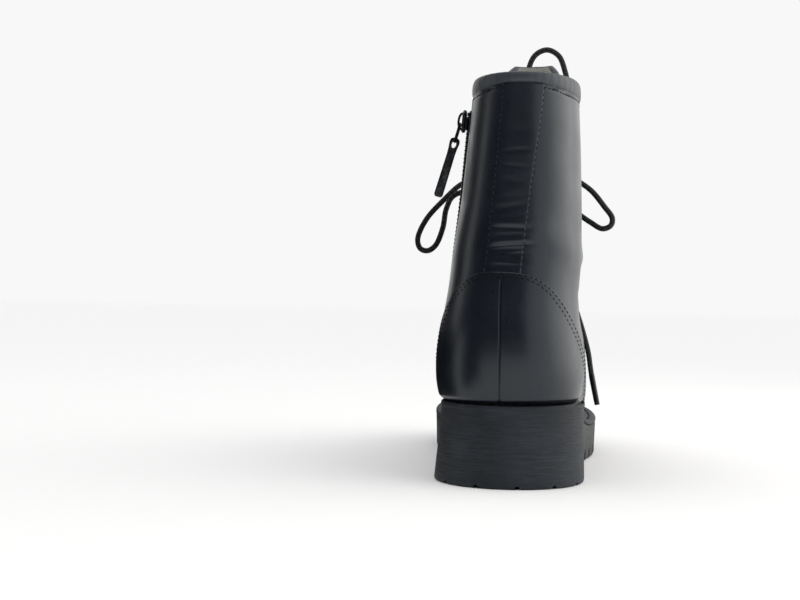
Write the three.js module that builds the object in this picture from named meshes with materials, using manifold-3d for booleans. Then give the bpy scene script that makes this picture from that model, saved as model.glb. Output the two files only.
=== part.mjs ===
// A right lace-up combat boot with a side zip, in millimetres, standing on its sole.
// +Z is up, +Y runs from heel to toe, +X is the outer (lateral) side. The origin is the middle of the
// heel's tread, on the floor.
import * as THREE from "three";
import { mergeVertices } from "three/addons/utils/BufferGeometryUtils.js";
import Module from "manifold-3d";

const wasm = await Module();
wasm.setup();

// ---------------------------------------------------------------- driving sizes

const WALL = 2.2; // leather and lining together
const GAP = 0.3; // between pieces that meet
const SEAT_GAP = 0.5; // between the welt and what stands on it, whose facets differ
const WELT_THICKNESS = 3;
const INSOLE_THICKNESS = 4;
const TONGUE_THICKNESS = 3;
const INNER_GAP = 0.6; // between the upper's curved inner face and what lies against it

// The seat is the welt's top face, on which the upper stands.
const SEAT_HEEL = 41;
const SEAT_BALL = 23;
const SEAT_TOE_SPRING = 7;
const SEAT_HEEL_END = 28; // y where the level heel seat starts to fall
const SEAT_BALL_START = 122; // y where it has come down to the ball
const SEAT_BALL_END = 158; // y where the toe spring starts
const TOE_TIP = 248;

// The tread is the underside of the sole.
const BREAST = 37; // y of the heel's front face
const ARCH_HEIGHT = 27;
const ARCH_END = BREAST + 8; // y where the level arch starts to come down
const TREAD_START = 106; // y where the forefoot comes down to the floor
const TREAD_END = 164; // y where the forefoot leaves the floor
const TREAD_TOE_SPRING = 9;
const LUG_PITCH = 14.5;
const LUG_GROOVE = 4;
const LUG_DEPTH = 5;
const LUG_REACH = 20;
const LUG_FIRST_Y = TREAD_START - 4;
const LUG_LAST_Y = TOE_TIP - 14;
const LUG_TURN = 0.9; // radians by which the lugs have turned forwards at the toe
const LUG_TURN_START = 150; // y
const LUG_TURN_RUN = 90;
const NOTCHES = 7; // round the back of the heel's lower edge
const NOTCH_WIDTH = 2.6;
const NOTCH_DEPTH = 1.6;
const NOTCH_REACH = 7;
const NOTCH_ROUND = { halfX: 40, halfY: 37.8, centreX: 0.5, centreY: 3, first: -12.5, last: 170.5 };
const NOTCH_SIDE_Y = 27; // of one more notch on each straight side

// Levels of the sole's pieces from underside to top. reach is counted from the upper's edge on the
// heel, and from the ledge's edge on the welt and outsole.
const WELT_LEVELS = [
  { reach: -0.4, drop: WELT_THICKNESS },
  { reach: 0.0, drop: WELT_THICKNESS - 0.8 },
  { reach: 0.0, drop: 0.6 },
  { reach: -0.6, drop: 0.0 },
];
const OUTSOLE_LOWER_LEVELS = [
  { reach: -2.0, rise: 0.0 },
  { reach: -0.5, rise: 2.0 },
];
const OUTSOLE_UPPER_LEVELS = [
  { reach: -0.2, drop: 1.5 },
  { reach: -0.4, drop: 0.0 },
];
const OUTSOLE_LEAST = 3; // least height of its upper part
const HEEL_LEVELS = [
  { reach: 3.5, share: 0.0 },
  { reach: 3.8, share: 0.05 },
  { reach: 2.6, share: 0.45 },
  { reach: 2.0, share: 0.8 },
  { reach: 1.9, share: 1.0 },
];
const HEEL_SHIFT = { foot: 0.5, top: 1.85 }; // of the block to the lateral side

// Rows of the foot's outline at equal steps from heel to toe: half widths to each side of the
// centre line, the centre line itself, and how far the welt stands out past the upper.
const FOOT_FIRST = -40;
const FOOT_STEP = 35;
const FOOT = [
  { lateral: 35.5, medial: 34.5, centre: 0.0, ledge: 1.2 },
  { lateral: 36.5, medial: 35.0, centre: 0.0, ledge: 1.2 },
  { lateral: 35.5, medial: 33.0, centre: 0.5, ledge: 1.4 },
  { lateral: 33.5, medial: 30.5, centre: 0.0, ledge: 2.4 },
  { lateral: 36.5, medial: 33.5, centre: -2.0, ledge: 5.0 },
  { lateral: 42.0, medial: 37.5, centre: -5.0, ledge: 9.0 },
  { lateral: 44.5, medial: 40.0, centre: -8.5, ledge: 8.5 },
  { lateral: 44.0, medial: 40.5, centre: -12.0, ledge: 8.0 },
  { lateral: 41.5, medial: 40.5, centre: -15.0, ledge: 6.5 },
  { lateral: 39.5, medial: 39.5, centre: -17.0, ledge: 6.0 },
];

// Rows of the upper's rings, from the sole's edge to above the collar. Each ring joins a point of
// the back line to a point of the front ridge. swell widens the foot's outline, leg is the share of
// the leg's own half width, lean moves the leg sideways, droop is how far the ring follows the
// seat's fall, and frontRound and backRound are where the ring's ends start to close.
const RINGS = [
  { backY: -31.0, backZ: 41, frontY: 248, frontZ: 30, swell: 0.0, leg: 0.0, half: 35.0,
    lean: 0.0, droop: 1.0, frontRound: 172, backRound: 14 },
  { backY: -35.0, backZ: 49, frontY: 252, frontZ: 38, swell: 2.4, leg: 0.0, half: 37.0,
    lean: 0.0, droop: 0.95, frontRound: 170, backRound: 16 },
  { backY: -37.5, backZ: 61, frontY: 251, frontZ: 50, swell: 3.0, leg: 0.1, half: 38.5,
    lean: 0.0, droop: 0.8, frontRound: 160, backRound: 18 },
  { backY: -37.0, backZ: 74, frontY: 242, frontZ: 64, swell: 1.6, leg: 0.25, half: 37.6,
    lean: 0.2, droop: 0.6, frontRound: 138, backRound: 18 },
  { backY: -34.5, backZ: 87, frontY: 222, frontZ: 74, swell: -1.0, leg: 0.45, half: 36.8,
    lean: 0.2, droop: 0.4, frontRound: 106, backRound: 18 },
  { backY: -31.5, backZ: 99, frontY: 191, frontZ: 82, swell: -4.0, leg: 0.65, half: 35.8,
    lean: 1.0, droop: 0.2, frontRound: 66, backRound: 20 },
  { backY: -29.5, backZ: 111, frontY: 158, frontZ: 92, swell: -6.0, leg: 0.85, half: 34.8,
    lean: 2.2, droop: 0.0, frontRound: 48, backRound: 20 },
  { backY: -28.5, backZ: 124, frontY: 128, frontZ: 108, swell: -6.0, leg: 1.0, half: 33.7,
    lean: 3.2, droop: 0.0, frontRound: 36, backRound: 22 },
  { backY: -28.0, backZ: 139, frontY: 107, frontZ: 128, swell: -6.0, leg: 1.0, half: 32.3,
    lean: 4.2, droop: 0.0, frontRound: 30, backRound: 23 },
  { backY: -28.0, backZ: 155, frontY: 96, frontZ: 150, swell: -6.0, leg: 1.0, half: 31.0,
    lean: 5.0, droop: 0.0, frontRound: 28, backRound: 24 },
  { backY: -28.5, backZ: 172, frontY: 90, frontZ: 171, swell: -6.0, leg: 1.0, half: 29.8,
    lean: 5.6, droop: 0.0, frontRound: 27, backRound: 24 },
  { backY: -29.0, backZ: 189, frontY: 87, frontZ: 190, swell: -6.0, leg: 1.0, half: 28.4,
    lean: 6.0, droop: 0.0, frontRound: 27, backRound: 24 },
  { backY: -29.5, backZ: 205, frontY: 86, frontZ: 208, swell: -6.0, leg: 1.0, half: 27.2,
    lean: 6.3, droop: 0.0, frontRound: 27, backRound: 24 },
  { backY: -30.0, backZ: 221, frontY: 88, frontZ: 226, swell: -6.0, leg: 1.0, half: 26.8,
    lean: 6.8, droop: 0.0, frontRound: 27, backRound: 24 },
  { backY: -30.0, backZ: 237, frontY: 92, frontZ: 244, swell: -6.0, leg: 1.0, half: 26.4,
    lean: 7.2, droop: 0.0, frontRound: 27, backRound: 24 },
];
const COLLAR_RING = 12;
const END_ROUNDNESS = 2.4; // power of the curve that closes a ring's ends

const THROAT_RING = 6; // ring at which the throat opens
const THROAT_LOW_HALF_GAP = 9;
const THROAT_TOP_HALF_GAP = 15;
const THROAT_ROUNDING = 0.5; // rings over which the throat's foot opens

const EYELET_PAIRS = 8;
const EYELET_INSET = 8; // from the throat's edge to an eyelet's centre
const EYELET_RADIUS = 4.4;
const EYELET_HOLE = 2.4;
const EYELET_HEIGHT = 1.1;
const EYELET_BEVEL = 0.9;
const FIRST_EYELET_RING = 6.55;
const LAST_EYELET_RING = 11.5;
const EYELET_LIFT = GAP + 0.8; // clears the leather's curve under the flat ring

const LACE = 3.2; // diameter
const LACE_LIFT = EYELET_LIFT + EYELET_HEIGHT + GAP + LACE / 2 + 0.9; // height of the lace's middle
const LACE_DIP = 0.8; // by which it sinks between eyelets
const BAR_DROP = 0.02; // rings by which the lowest bar lies below its eyelets

const TONGUE_FIRST_RING = 5.5;
const TONGUE_LAST_RING = 13.15;
const TONGUE_LOW_HALF = 20;
const TONGUE_TOP_HALF = 24;
const TONGUE_ROUND = 0.82; // share of its length where its end starts to round off
const TONGUE_TIP_CLOSING = 0.88; // how far the rounding has closed at its top

// The zip runs down the medial side on a straight line in side view.
const ZIP_TOP_Y = 23;
const ZIP_TOP_Z = 203;
const ZIP_FOOT_Y = 46;
const ZIP_FOOT_Z = 58;
const ZIP_FIRST_RING = 2.6;
const ZIP_LAST_RING = 11.35;
const ZIP_HALF_WIDTH = 5;
const ZIP_TAPE = 0.9;
const ZIP_TEETH = 2.3;
const SLIDER_RING = 10.95;
const SLIDER_LENGTH = 12;
const SLIDER_WIDTH = 8.4;
const SLIDER_THICKNESS = 2.2;
const SLIDER_BASE = 2 * GAP + ZIP_TEETH + 0.5; // its underside above the leather
// Half outlines of the hardware, from foot to top, as shares of its half width and half length.
const SLIDER_OUTLINE = [
  { across: 0.72, along: -1.0 },
  { across: 0.78, along: 0.0 },
  { across: 1.0, along: 0.6 },
  { across: 0.6, along: 1.0 },
];
const BRIDGE_HEIGHT = 3.4;
const BRIDGE_BAR = 1.2;
const BRIDGE_WIDTH = 2.2;
const BRIDGE_SPAN = 0.75; // share of the slider's length

const PULL_LENGTH = 33;
const PULL_LEAN = 16.8; // degrees outwards from straight down
const PULL_THICKNESS = 1.6;
const PIVOT_DROP = 1.4; // how far below the slider's middle the pull's link sits
const PIVOT_LIFT = SLIDER_THICKNESS + GAP + 0.1; // least height of the link's wire over the slider
const LINK_WIRE = 1.2;
const STRIP_TOP = 8; // how far the strip's top hangs below the pivot
const LINK_BITE = 0.15; // by which the link's lower bar and the strip's hole are joined
const LINK_ROOM = 0.7; // beside the bridge
const STRIP_WIDTH = 4.8;
// Half outline of the pull's strip, with depth counted in millimetres down from its top.
const PULL_OUTLINE = [
  { across: 0.8, down: PULL_LENGTH },
  { across: 1.0, down: PULL_LENGTH - 1.2 },
  { across: 0.9, down: 9.0 },
  { across: 1.15, down: 2.0 },
  { across: 0.6, down: 0.0 },
];
const PULL_HOLE = { across: 0.55, halfLength: 1.9, down: 3.6 };

// Hand-laid routes of the free lace, from the knot outwards.
const KNOT = { x: 2, y: 105, z: 163 };
const KNOT_SIZE = { x: 15, y: 9, z: 11 };
const ROUTES = {
  lace_loop_lateral: [
    [10.5, 105, 165.5], [22, 101, 168], [33, 94, 163], [41, 89, 156.9], [48, 86, 148.2],
    [52.7, 85, 141.5], [52, 85, 137.3], [47.5, 86, 135.4], [40, 90, 139.5], [24, 99, 151],
    [10.5, 105, 159.5],
  ],
  lace_loop_medial: [
    [-6.5, 105, 165.5], [-18, 101, 167], [-34, 92, 161.5], [-45, 85, 150.5], [-54.7, 85, 139.3],
    [-59.5, 86, 128], [-57.8, 86, 122.6], [-53.5, 86, 121.4], [-49, 86, 124.5], [-45, 87, 134.8],
    [-43.6, 90.5, 146], [-40, 94, 154], [-30, 98, 158], [-18, 102, 159], [-6.5, 105, 160],
  ],
  lace_end_lateral: [
    [6, 107, 156.5], [14, 112, 147], [22, 119.5, 129], [27, 129, 110], [31, 140.5, 92],
    [36, 143, 76.5], [39.8, 141.5, 63], [42, 138.8, 50], [46, 134.5, 31],
  ],
  lace_end_medial: [
    [-2, 107, 156.5], [-8, 114, 146], [-17, 126, 129], [-26, 142, 112], [-31, 158, 99],
    [-32, 173, 89.5], [-31, 186, 83.5],
  ],
  lace_arch: [
    [4, 107, 169.5], [4, 107, 187], [2, 104, 207], [2, 100.5, 227], [6, 99, 237.2], [13, 98, 240.4],
    [20, 97, 236.7], [24, 96, 227], [26.5, 94, 215], [27.5, 90, 204],
  ],
  lace_run: [
    [-1, 107, 169.5], [-6, 105, 179], [-13, 99, 192], [-17, 94.5, 200],
  ],
};
const LACE_STEPS = {
  lace_loop_lateral: 18,
  lace_loop_medial: 26,
  lace_end_lateral: 16,
  lace_end_medial: 14,
  lace_arch: 18,
  lace_run: 6,
};

// ---------------------------------------------------------------- curves through the tables

const mix = (a, b, share) => a + (b - a) * share;
const clamp = (value, low, high) => Math.min(high, Math.max(low, value));
const ease = (share) => {
  const s = clamp(share, 0, 1);
  return s * s * (3 - 2 * s);
};

// A smooth curve drawn towards the rows of a table, at a place counted in rows.
function along(rows, column, place) {
  const last = rows.length - 1;
  const at = clamp(place, 0, last);
  const i = Math.min(last - 1, Math.floor(at));
  const u = at - i;
  const value = (k) => {
    if (k < 0) return 2 * rows[0][column] - rows[1][column];
    if (k > last) return 2 * rows[last][column] - rows[last - 1][column];
    return rows[k][column];
  };
  const w0 = (1 - u) ** 3;
  const w1 = 3 * u ** 3 - 6 * u ** 2 + 4;
  const w2 = -3 * u ** 3 + 3 * u ** 2 + 3 * u + 1;
  const w3 = u ** 3;
  return (w0 * value(i - 1) + w1 * value(i) + w2 * value(i + 1) + w3 * value(i + 2)) / 6;
}

const foot = (column, y) => along(FOOT, column, (y - FOOT_FIRST) / FOOT_STEP);

// Height of the welt's top face: level under the heel, falling to the ball, rising to the toe.
function seat(y) {
  const fall = ease((y - SEAT_HEEL_END) / (SEAT_BALL_START - SEAT_HEEL_END));
  const spring = Math.max(0, (y - SEAT_BALL_END) / (TOE_TIP - SEAT_BALL_END));
  return mix(SEAT_HEEL, SEAT_BALL, fall) + SEAT_TOE_SPRING * spring ** 2;
}

// Height of the forefoot's underside: arched at the waist, flat at the ball, rising to the toe.
function tread(y) {
  const fall = ease((y - ARCH_END) / (TREAD_START - ARCH_END));
  const spring = Math.max(0, (y - TREAD_END) / (TOE_TIP - TREAD_END));
  return ARCH_HEIGHT * (1 - fall) + TREAD_TOE_SPRING * spring ** 2;
}

// ---------------------------------------------------------------- the upper's outer surface

// A ring's values at a place counted in rings.
function ringAt(place) {
  const ring = {};
  for (const column of Object.keys(RINGS[0])) ring[column] = along(RINGS, column, place);
  return ring;
}

// How far a ring's end has closed: 1 in its middle, 0 at its tip.
function closing(y, start, tip) {
  const s = clamp((y - start) / (tip - start), 0, 1);
  return Math.sqrt(Math.max(0, 1 - s ** END_ROUNDNESS));
}

function halfWidth(ring, side, y) {
  const footHalf = foot(side, y) + ring.swell;
  return mix(footHalf, ring.half, ring.leg);
}

// A point of the outer surface. turn is 0 on the front ridge, pi on the back line, and passes the
// lateral side on the way.
function surfacePoint(place, turn) {
  const ring = ringAt(place);
  const share = (1 + Math.cos(turn)) / 2;
  const y = mix(ring.backY, ring.frontY, share);
  const chord = mix(seat(RINGS[0].backY), seat(RINGS[0].frontY), share);
  const z = mix(ring.backZ, ring.frontZ, share) + ring.droop * (seat(y) - chord);
  const side = Math.sin(turn) >= 0 ? "lateral" : "medial";
  const sign = side === "lateral" ? 1 : -1;
  const ends = closing(y, ring.frontRound, ring.frontY) * closing(y, ring.backRound, ring.backY);
  const centre = mix(foot("centre", y), 0, ring.leg) + ring.lean;
  return new THREE.Vector3(centre + sign * halfWidth(ring, side, y) * ends, y, z);
}

// The surface's frame: up the boot, round the boot and straight out of the leather.
function surfaceFrame(place, turn) {
  const step = 0.02;
  const top = RINGS.length - 1;
  const above = surfacePoint(Math.min(top, place + step), turn);
  const below = surfacePoint(Math.max(0, place - step), turn);
  const ahead = surfacePoint(place, turn + step);
  const behind = surfacePoint(place, turn - step);
  const up = above.sub(below).normalize();
  const round = ahead.sub(behind).normalize();
  const out = new THREE.Vector3().crossVectors(up, round).normalize();
  return { up, round: new THREE.Vector3().crossVectors(out, up), out };
}

const offsetPoint = (place, turn, height) =>
  surfacePoint(place, turn).addScaledVector(surfaceFrame(place, turn).out, height);

// The turn at which the surface is a given distance to the side of the front ridge.
function turnAtHalf(place, half) {
  const ring = ringAt(place);
  const side = Math.min(0.98, half / halfWidth(ring, "lateral", ring.frontY));
  const s = (1 - side ** 2) ** (1 / END_ROUNDNESS);
  const y = mix(ring.frontRound, ring.frontY, s);
  return Math.acos(clamp((2 * (y - ring.backY)) / (ring.frontY - ring.backY) - 1, -1, 1));
}

function throatHalfGap(place) {
  const rise = clamp((place - THROAT_RING) / (COLLAR_RING - THROAT_RING), 0, 1);
  const opening = Math.sqrt(clamp((place - THROAT_RING) / THROAT_ROUNDING, 0, 1));
  return opening * mix(THROAT_LOW_HALF_GAP, THROAT_TOP_HALF_GAP, rise);
}

// The turn, on the medial side, where a ring crosses the zip's line; aside moves it round the boot.
function zipTurn(place, aside) {
  const ring = ringAt(place);
  const slope = (ZIP_TOP_Y - ZIP_FOOT_Y) / (ZIP_TOP_Z - ZIP_FOOT_Z);
  const lineY = ZIP_FOOT_Y + slope * (ring.backZ - ZIP_FOOT_Z);
  const run = ring.frontY - ring.backY - slope * (ring.frontZ - ring.backZ);
  const share = (lineY - ring.backY) / run + aside / (ring.frontY - ring.backY);
  return -Math.acos(clamp(2 * share - 1, -1, 1));
}

// ---------------------------------------------------------------- meshes from grids

// Collects corners and faces, and turns them into one closed mesh.
class Shell {
  constructor() {
    this.corners = [];
    this.faces = [];
  }

  point(p) {
    this.corners.push(p.x, p.y, p.z);
    return this.corners.length / 3 - 1;
  }

  quad(a, b, c, d) {
    for (const [p, q, r] of [[a, b, c], [a, c, d]]) {
      if (p !== q && q !== r && r !== p) this.faces.push(p, q, r);
    }
  }

  geometry() {
    const shape = new THREE.BufferGeometry();
    shape.setAttribute("position", new THREE.Float32BufferAttribute(this.corners, 3));
    shape.setIndex(this.faces);
    return shape;
  }
}

// A curved sheet of rows and columns: outside(i, j) and inside(i, j) give its two faces. isRound
// says whether a row closes on itself.
function sheet(rowCount, columnCount, outside, inside, isRound) {
  const shell = new Shell();
  const face = (pointAt) => {
    const ids = [];
    for (let i = 0; i < rowCount; i += 1) {
      const row = [];
      for (let j = 0; j < columnCount; j += 1) row.push(shell.point(pointAt(i, j)));
      if (isRound(i)) row[columnCount - 1] = row[0];
      ids.push(row);
    }
    return ids;
  };
  const outer = face(outside);
  const inner = face(inside);
  for (let i = 0; i + 1 < rowCount; i += 1) {
    for (let j = 0; j + 1 < columnCount; j += 1) {
      shell.quad(outer[i][j], outer[i + 1][j], outer[i + 1][j + 1], outer[i][j + 1]);
      shell.quad(inner[i][j], inner[i][j + 1], inner[i + 1][j + 1], inner[i + 1][j]);
    }
    if (isRound(i) && isRound(i + 1)) continue;
    const end = columnCount - 1;
    shell.quad(outer[i][0], inner[i][0], inner[i + 1][0], outer[i + 1][0]);
    shell.quad(outer[i][end], outer[i + 1][end], inner[i + 1][end], inner[i][end]);
  }
  const top = rowCount - 1;
  for (let j = 0; j + 1 < columnCount; j += 1) {
    shell.quad(outer[0][j], outer[0][j + 1], inner[0][j + 1], inner[0][j]);
    shell.quad(outer[top][j], inner[top][j], inner[top][j + 1], outer[top][j + 1]);
  }
  return shell.geometry();
}

// A slab on the foot's outline: levels run from its underside to its top, each with how far it
// stands out past the upper's edge and the height of its surface along the foot.
function slab(levels, steps) {
  const shell = new Shell();
  const rings = levels.map(({ reach, height }) => {
    const ids = [];
    for (let j = 0; j < 2 * steps; j += 1) {
      const turn = (Math.PI * j) / steps;
      const edge = outlinePoint(turn, reach);
      ids.push(shell.point(new THREE.Vector3(edge.x, edge.y, height(edge.y))));
    }
    return ids;
  });
  const count = 2 * steps;
  for (let k = 0; k + 1 < rings.length; k += 1) {
    for (let j = 0; j < count; j += 1) {
      const next = (j + 1) % count;
      shell.quad(rings[k][next], rings[k][j], rings[k + 1][j], rings[k + 1][next]);
    }
  }
  const under = rings[0];
  const over = rings[rings.length - 1];
  for (let j = 0; j < steps; j += 1) {
    const left = (count - j) % count;
    const nextLeft = count - j - 1;
    shell.quad(under[j], under[j + 1], under[nextLeft], under[left]);
    shell.quad(over[j], over[left], over[nextLeft], over[j + 1]);
  }
  return shell.geometry();
}

// A point of the foot's outline in plan, moved straight out from the upper's edge. reach is given
// the welt's own ledge at that place.
function outlinePoint(turn, reach) {
  const step = 0.01;
  const here = surfacePoint(0, turn);
  const ahead = surfacePoint(0, turn + step);
  const behind = surfacePoint(0, turn - step);
  const run = new THREE.Vector2(ahead.x - behind.x, ahead.y - behind.y).normalize();
  const out = reach(foot("ledge", here.y), here.y);
  return new THREE.Vector2(here.x - run.y * out, here.y + run.x * out);
}

// ---------------------------------------------------------------- solids that cut and join

function solid(geometry) {
  const bare = geometry.clone();
  bare.deleteAttribute("normal");
  bare.deleteAttribute("uv");
  const merged = mergeVertices(bare, 1e-4);
  return new wasm.Manifold(
    new wasm.Mesh({
      numProp: 3,
      vertProperties: new Float32Array(merged.attributes.position.array),
      triVerts: new Uint32Array(merged.index.array),
    }),
  );
}

function geometryOf(made) {
  const mesh = made.getMesh();
  const shape = new THREE.BufferGeometry();
  shape.setAttribute("position", new THREE.BufferAttribute(mesh.vertProperties, 3));
  shape.setIndex(new THREE.BufferAttribute(mesh.triVerts, 1));
  return shape;
}

function boxSolid(size, centre, turn = 0) {
  const box = new THREE.BoxGeometry(size.x, size.y, size.z);
  box.rotateZ(turn);
  box.translate(centre.x, centre.y, centre.z);
  return solid(box);
}

// A block right across the sole, between two distances along the foot.
function crossBlock(fromY, toY) {
  const size = new THREE.Vector3(TOE_TIP, toY - fromY, TOE_TIP);
  return boxSolid(size, new THREE.Vector3(0, (fromY + toY) / 2, 0));
}

// An outline that is the same on both sides of its middle line, from rows that run up one side.
function mirroredShape(rows) {
  const right = rows.map(({ x, y }) => new THREE.Vector2(x, y));
  const left = rows.map(({ x, y }) => new THREE.Vector2(-x, y)).reverse();
  return new THREE.Shape([...right, ...left]);
}

const TUBE_SIDES = 7;

// A round tube along points, with closed ends.
function tube(points, diameter, steps) {
  const path = new THREE.CatmullRomCurve3(points, false, "centripetal");
  const section = new THREE.Shape();
  for (let k = 0; k < TUBE_SIDES; k += 1) {
    const angle = (2 * Math.PI * k) / TUBE_SIDES;
    const x = (diameter / 2) * Math.cos(angle);
    const y = (diameter / 2) * Math.sin(angle);
    if (k === 0) section.moveTo(x, y);
    else section.lineTo(x, y);
  }
  section.closePath();
  return new THREE.ExtrudeGeometry(section, { steps, extrudePath: path, bevelEnabled: false });
}

// ---------------------------------------------------------------- materials and the group

const boot = new THREE.Group();
boot.name = "combat_boot";

const LEATHER = { color: 0x2b2f34, roughness: 0.42, metalness: 0 };
const RUBBER = { color: 0x303238, roughness: 0.7, metalness: 0 };
const LINING = { color: 0x3a3733, roughness: 0.9, metalness: 0 };
const METAL = { color: 0x1d1f22, roughness: 0.35, metalness: 0.8 };
const CORD = { color: 0x17191c, roughness: 0.85, metalness: 0 };

function add(name, geometry, look) {
  geometry.computeVertexNormals();
  const mesh = new THREE.Mesh(geometry, new THREE.MeshStandardMaterial(look));
  mesh.name = name;
  boot.add(mesh);
  return mesh;
}

// ---------------------------------------------------------------- sole, heel, welt and insole

const SOLE_STEPS = 28;

const underWelt = (y) => seat(y) - WELT_THICKNESS - GAP;

function weltGeometry() {
  const levels = WELT_LEVELS.map(({ reach, drop }) => ({
    reach: (ledge) => ledge + reach,
    height: (y) => seat(y) - drop,
  }));
  return slab(levels, SOLE_STEPS);
}

// The forefoot and waist, cut off at the heel's breast, with grooves between its side lugs.
function outsoleGeometry() {
  const lower = OUTSOLE_LOWER_LEVELS.map(({ reach, rise }) => ({
    reach: (ledge) => ledge + reach,
    height: (y) => Math.min(tread(y) + rise, underWelt(y) - OUTSOLE_LEAST),
  }));
  const upper = OUTSOLE_UPPER_LEVELS.map(({ reach, drop }) => ({
    reach: (ledge) => ledge + reach,
    height: (y) => underWelt(y) - drop,
  }));
  let made = solid(slab([...lower, ...upper], SOLE_STEPS));
  made = made.subtract(crossBlock(-TOE_TIP, BREAST + GAP));
  for (const [side, sign] of [["lateral", 1], ["medial", -1]]) {
    for (let y = LUG_FIRST_Y; y < LUG_LAST_Y; y += LUG_PITCH) {
      const turn = (LUG_TURN * Math.max(0, y - LUG_TURN_START)) / LUG_TURN_RUN;
      const edge = sign * foot(side, y) + foot("centre", y);
      const closed = closing(y, RINGS[0].frontRound, LUG_LAST_Y + LUG_REACH);
      const size = new THREE.Vector3(2 * LUG_REACH, LUG_GROOVE, 2 * LUG_DEPTH);
      const centre = new THREE.Vector3(edge * closed, y, tread(y));
      made = made.subtract(boxSolid(size, centre, sign * turn));
    }
  }
  return geometryOf(made);
}

// The heel block: slightly waisted sides that flare at the tread, notched round its lower edge.
function heelGeometry() {
  const levels = HEEL_LEVELS.map(({ reach, share }) => ({
    reach: () => reach,
    height: (y) => share * underWelt(y),
  }));
  const block = slab(levels, SOLE_STEPS);
  const corners = block.getAttribute("position");
  for (let i = 0; i < corners.count; i += 1) {
    const share = clamp(corners.getZ(i) / underWelt(0), 0, 1);
    corners.setX(i, corners.getX(i) + mix(HEEL_SHIFT.foot, HEEL_SHIFT.top, share));
  }
  let made = solid(block);
  made = made.subtract(crossBlock(BREAST - GAP, 2 * TOE_TIP));
  const { halfX, halfY, centreX, centreY, first, last } = NOTCH_ROUND;
  const size = new THREE.Vector3(2 * NOTCH_REACH, NOTCH_WIDTH, 2 * NOTCH_DEPTH);
  for (let k = 0; k < NOTCHES; k += 1) {
    const angle = THREE.MathUtils.degToRad(mix(first, last, k / (NOTCHES - 1)));
    const x = centreX + halfX * Math.cos(angle);
    const centre = new THREE.Vector3(x, centreY - halfY * Math.sin(angle), 0);
    made = made.subtract(boxSolid(size, centre, -angle));
  }
  for (const x of [centreX - halfX, centreX + halfX]) {
    made = made.subtract(boxSolid(size, new THREE.Vector3(x, NOTCH_SIDE_Y, 0)));
  }
  return geometryOf(made);
}

function insoleGeometry() {
  const height = (lift) => (y) => seat(y) + SEAT_GAP + lift;
  const inset = () => -(WALL + INNER_GAP);
  return slab(
    [
      { reach: inset, height: height(0) },
      { reach: inset, height: height(INSOLE_THICKNESS) },
    ],
    SOLE_STEPS - 8,
  );
}

add("welt", weltGeometry(), RUBBER);
add("outsole", outsoleGeometry(), RUBBER);
add("heel", heelGeometry(), RUBBER);
add("insole", insoleGeometry(), LINING);

// ---------------------------------------------------------------- upper and tongue

const UPPER_ROWS = 25;
const UPPER_COLUMNS = 41;

// The leather wall: its outer face is the boot's surface, its inner face one wall further in.
function upperGeometry() {
  const place = (i) => (COLLAR_RING * i) / (UPPER_ROWS - 1);
  const turn = (i, j) => {
    const half = throatHalfGap(place(i));
    const start = half > 0 ? turnAtHalf(place(i), half) : 0;
    return mix(start, 2 * Math.PI - start, j / (UPPER_COLUMNS - 1));
  };
  const lift = new THREE.Vector3(0, 0, SEAT_GAP);
  const outside = (i, j) => surfacePoint(place(i), turn(i, j)).add(lift);
  const inside = (i, j) => {
    const inner = offsetPoint(place(i), turn(i, j), -WALL).add(lift);
    if (i === 0) inner.z = outside(i, j).z;
    return inner;
  };
  return sheet(UPPER_ROWS, UPPER_COLUMNS, outside, inside, (i) => place(i) <= THROAT_RING);
}

// The tongue lies against the inside of the throat and stands above the collar.
function tongueGeometry() {
  const rows = 16;
  const columns = 9;
  const place = (i) => mix(TONGUE_FIRST_RING, TONGUE_LAST_RING, i / (rows - 1));
  const half = (i) => {
    const rise = i / (rows - 1);
    const rounding = clamp((rise - TONGUE_ROUND) / (1 - TONGUE_ROUND), 0, 1);
    const corner = Math.sqrt(1 - TONGUE_TIP_CLOSING * rounding ** 2);
    return mix(TONGUE_LOW_HALF, TONGUE_TOP_HALF, rise) * corner;
  };
  const turn = (i, j) => {
    const edge = turnAtHalf(place(i), half(i));
    return mix(-edge, edge, j / (columns - 1));
  };
  const depth = WALL + INNER_GAP;
  const outside = (i, j) => offsetPoint(place(i), turn(i, j), -depth);
  const inside = (i, j) => offsetPoint(place(i), turn(i, j), -depth - TONGUE_THICKNESS);
  return sheet(rows, columns, outside, inside, () => false);
}

add("upper", upperGeometry(), LEATHER);
add("tongue", tongueGeometry(), LEATHER);

// ---------------------------------------------------------------- eyelets and crossed laces

const eyeletPlace = (k) => mix(FIRST_EYELET_RING, LAST_EYELET_RING, k / (EYELET_PAIRS - 1));
const eyeletTurn = (place) => turnAtHalf(place, throatHalfGap(place) + EYELET_INSET);

const EYELET_SIDES = 9;

function eyeletGeometry() {
  const profile = [
    [EYELET_HOLE, 0],
    [EYELET_RADIUS, 0],
    [EYELET_RADIUS - EYELET_BEVEL, EYELET_HEIGHT],
    [EYELET_HOLE, EYELET_HEIGHT],
    [EYELET_HOLE, 0],
  ].map(([radius, height]) => new THREE.Vector2(radius, height));
  return new THREE.LatheGeometry(profile, EYELET_SIDES);
}

for (let k = 0; k < EYELET_PAIRS; k += 1) {
  for (const [side, sign] of [["lateral", 1], ["medial", -1]]) {
    const place = eyeletPlace(k);
    const turn = sign * eyeletTurn(place);
    const mesh = add(`eyelet_${side}_${k + 1}`, eyeletGeometry(), METAL);
    mesh.position.copy(offsetPoint(place, turn, EYELET_LIFT));
    const out = surfaceFrame(place, turn).out;
    mesh.quaternion.setFromUnitVectors(new THREE.Vector3(0, 1, 0), out);
  }
}

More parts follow.
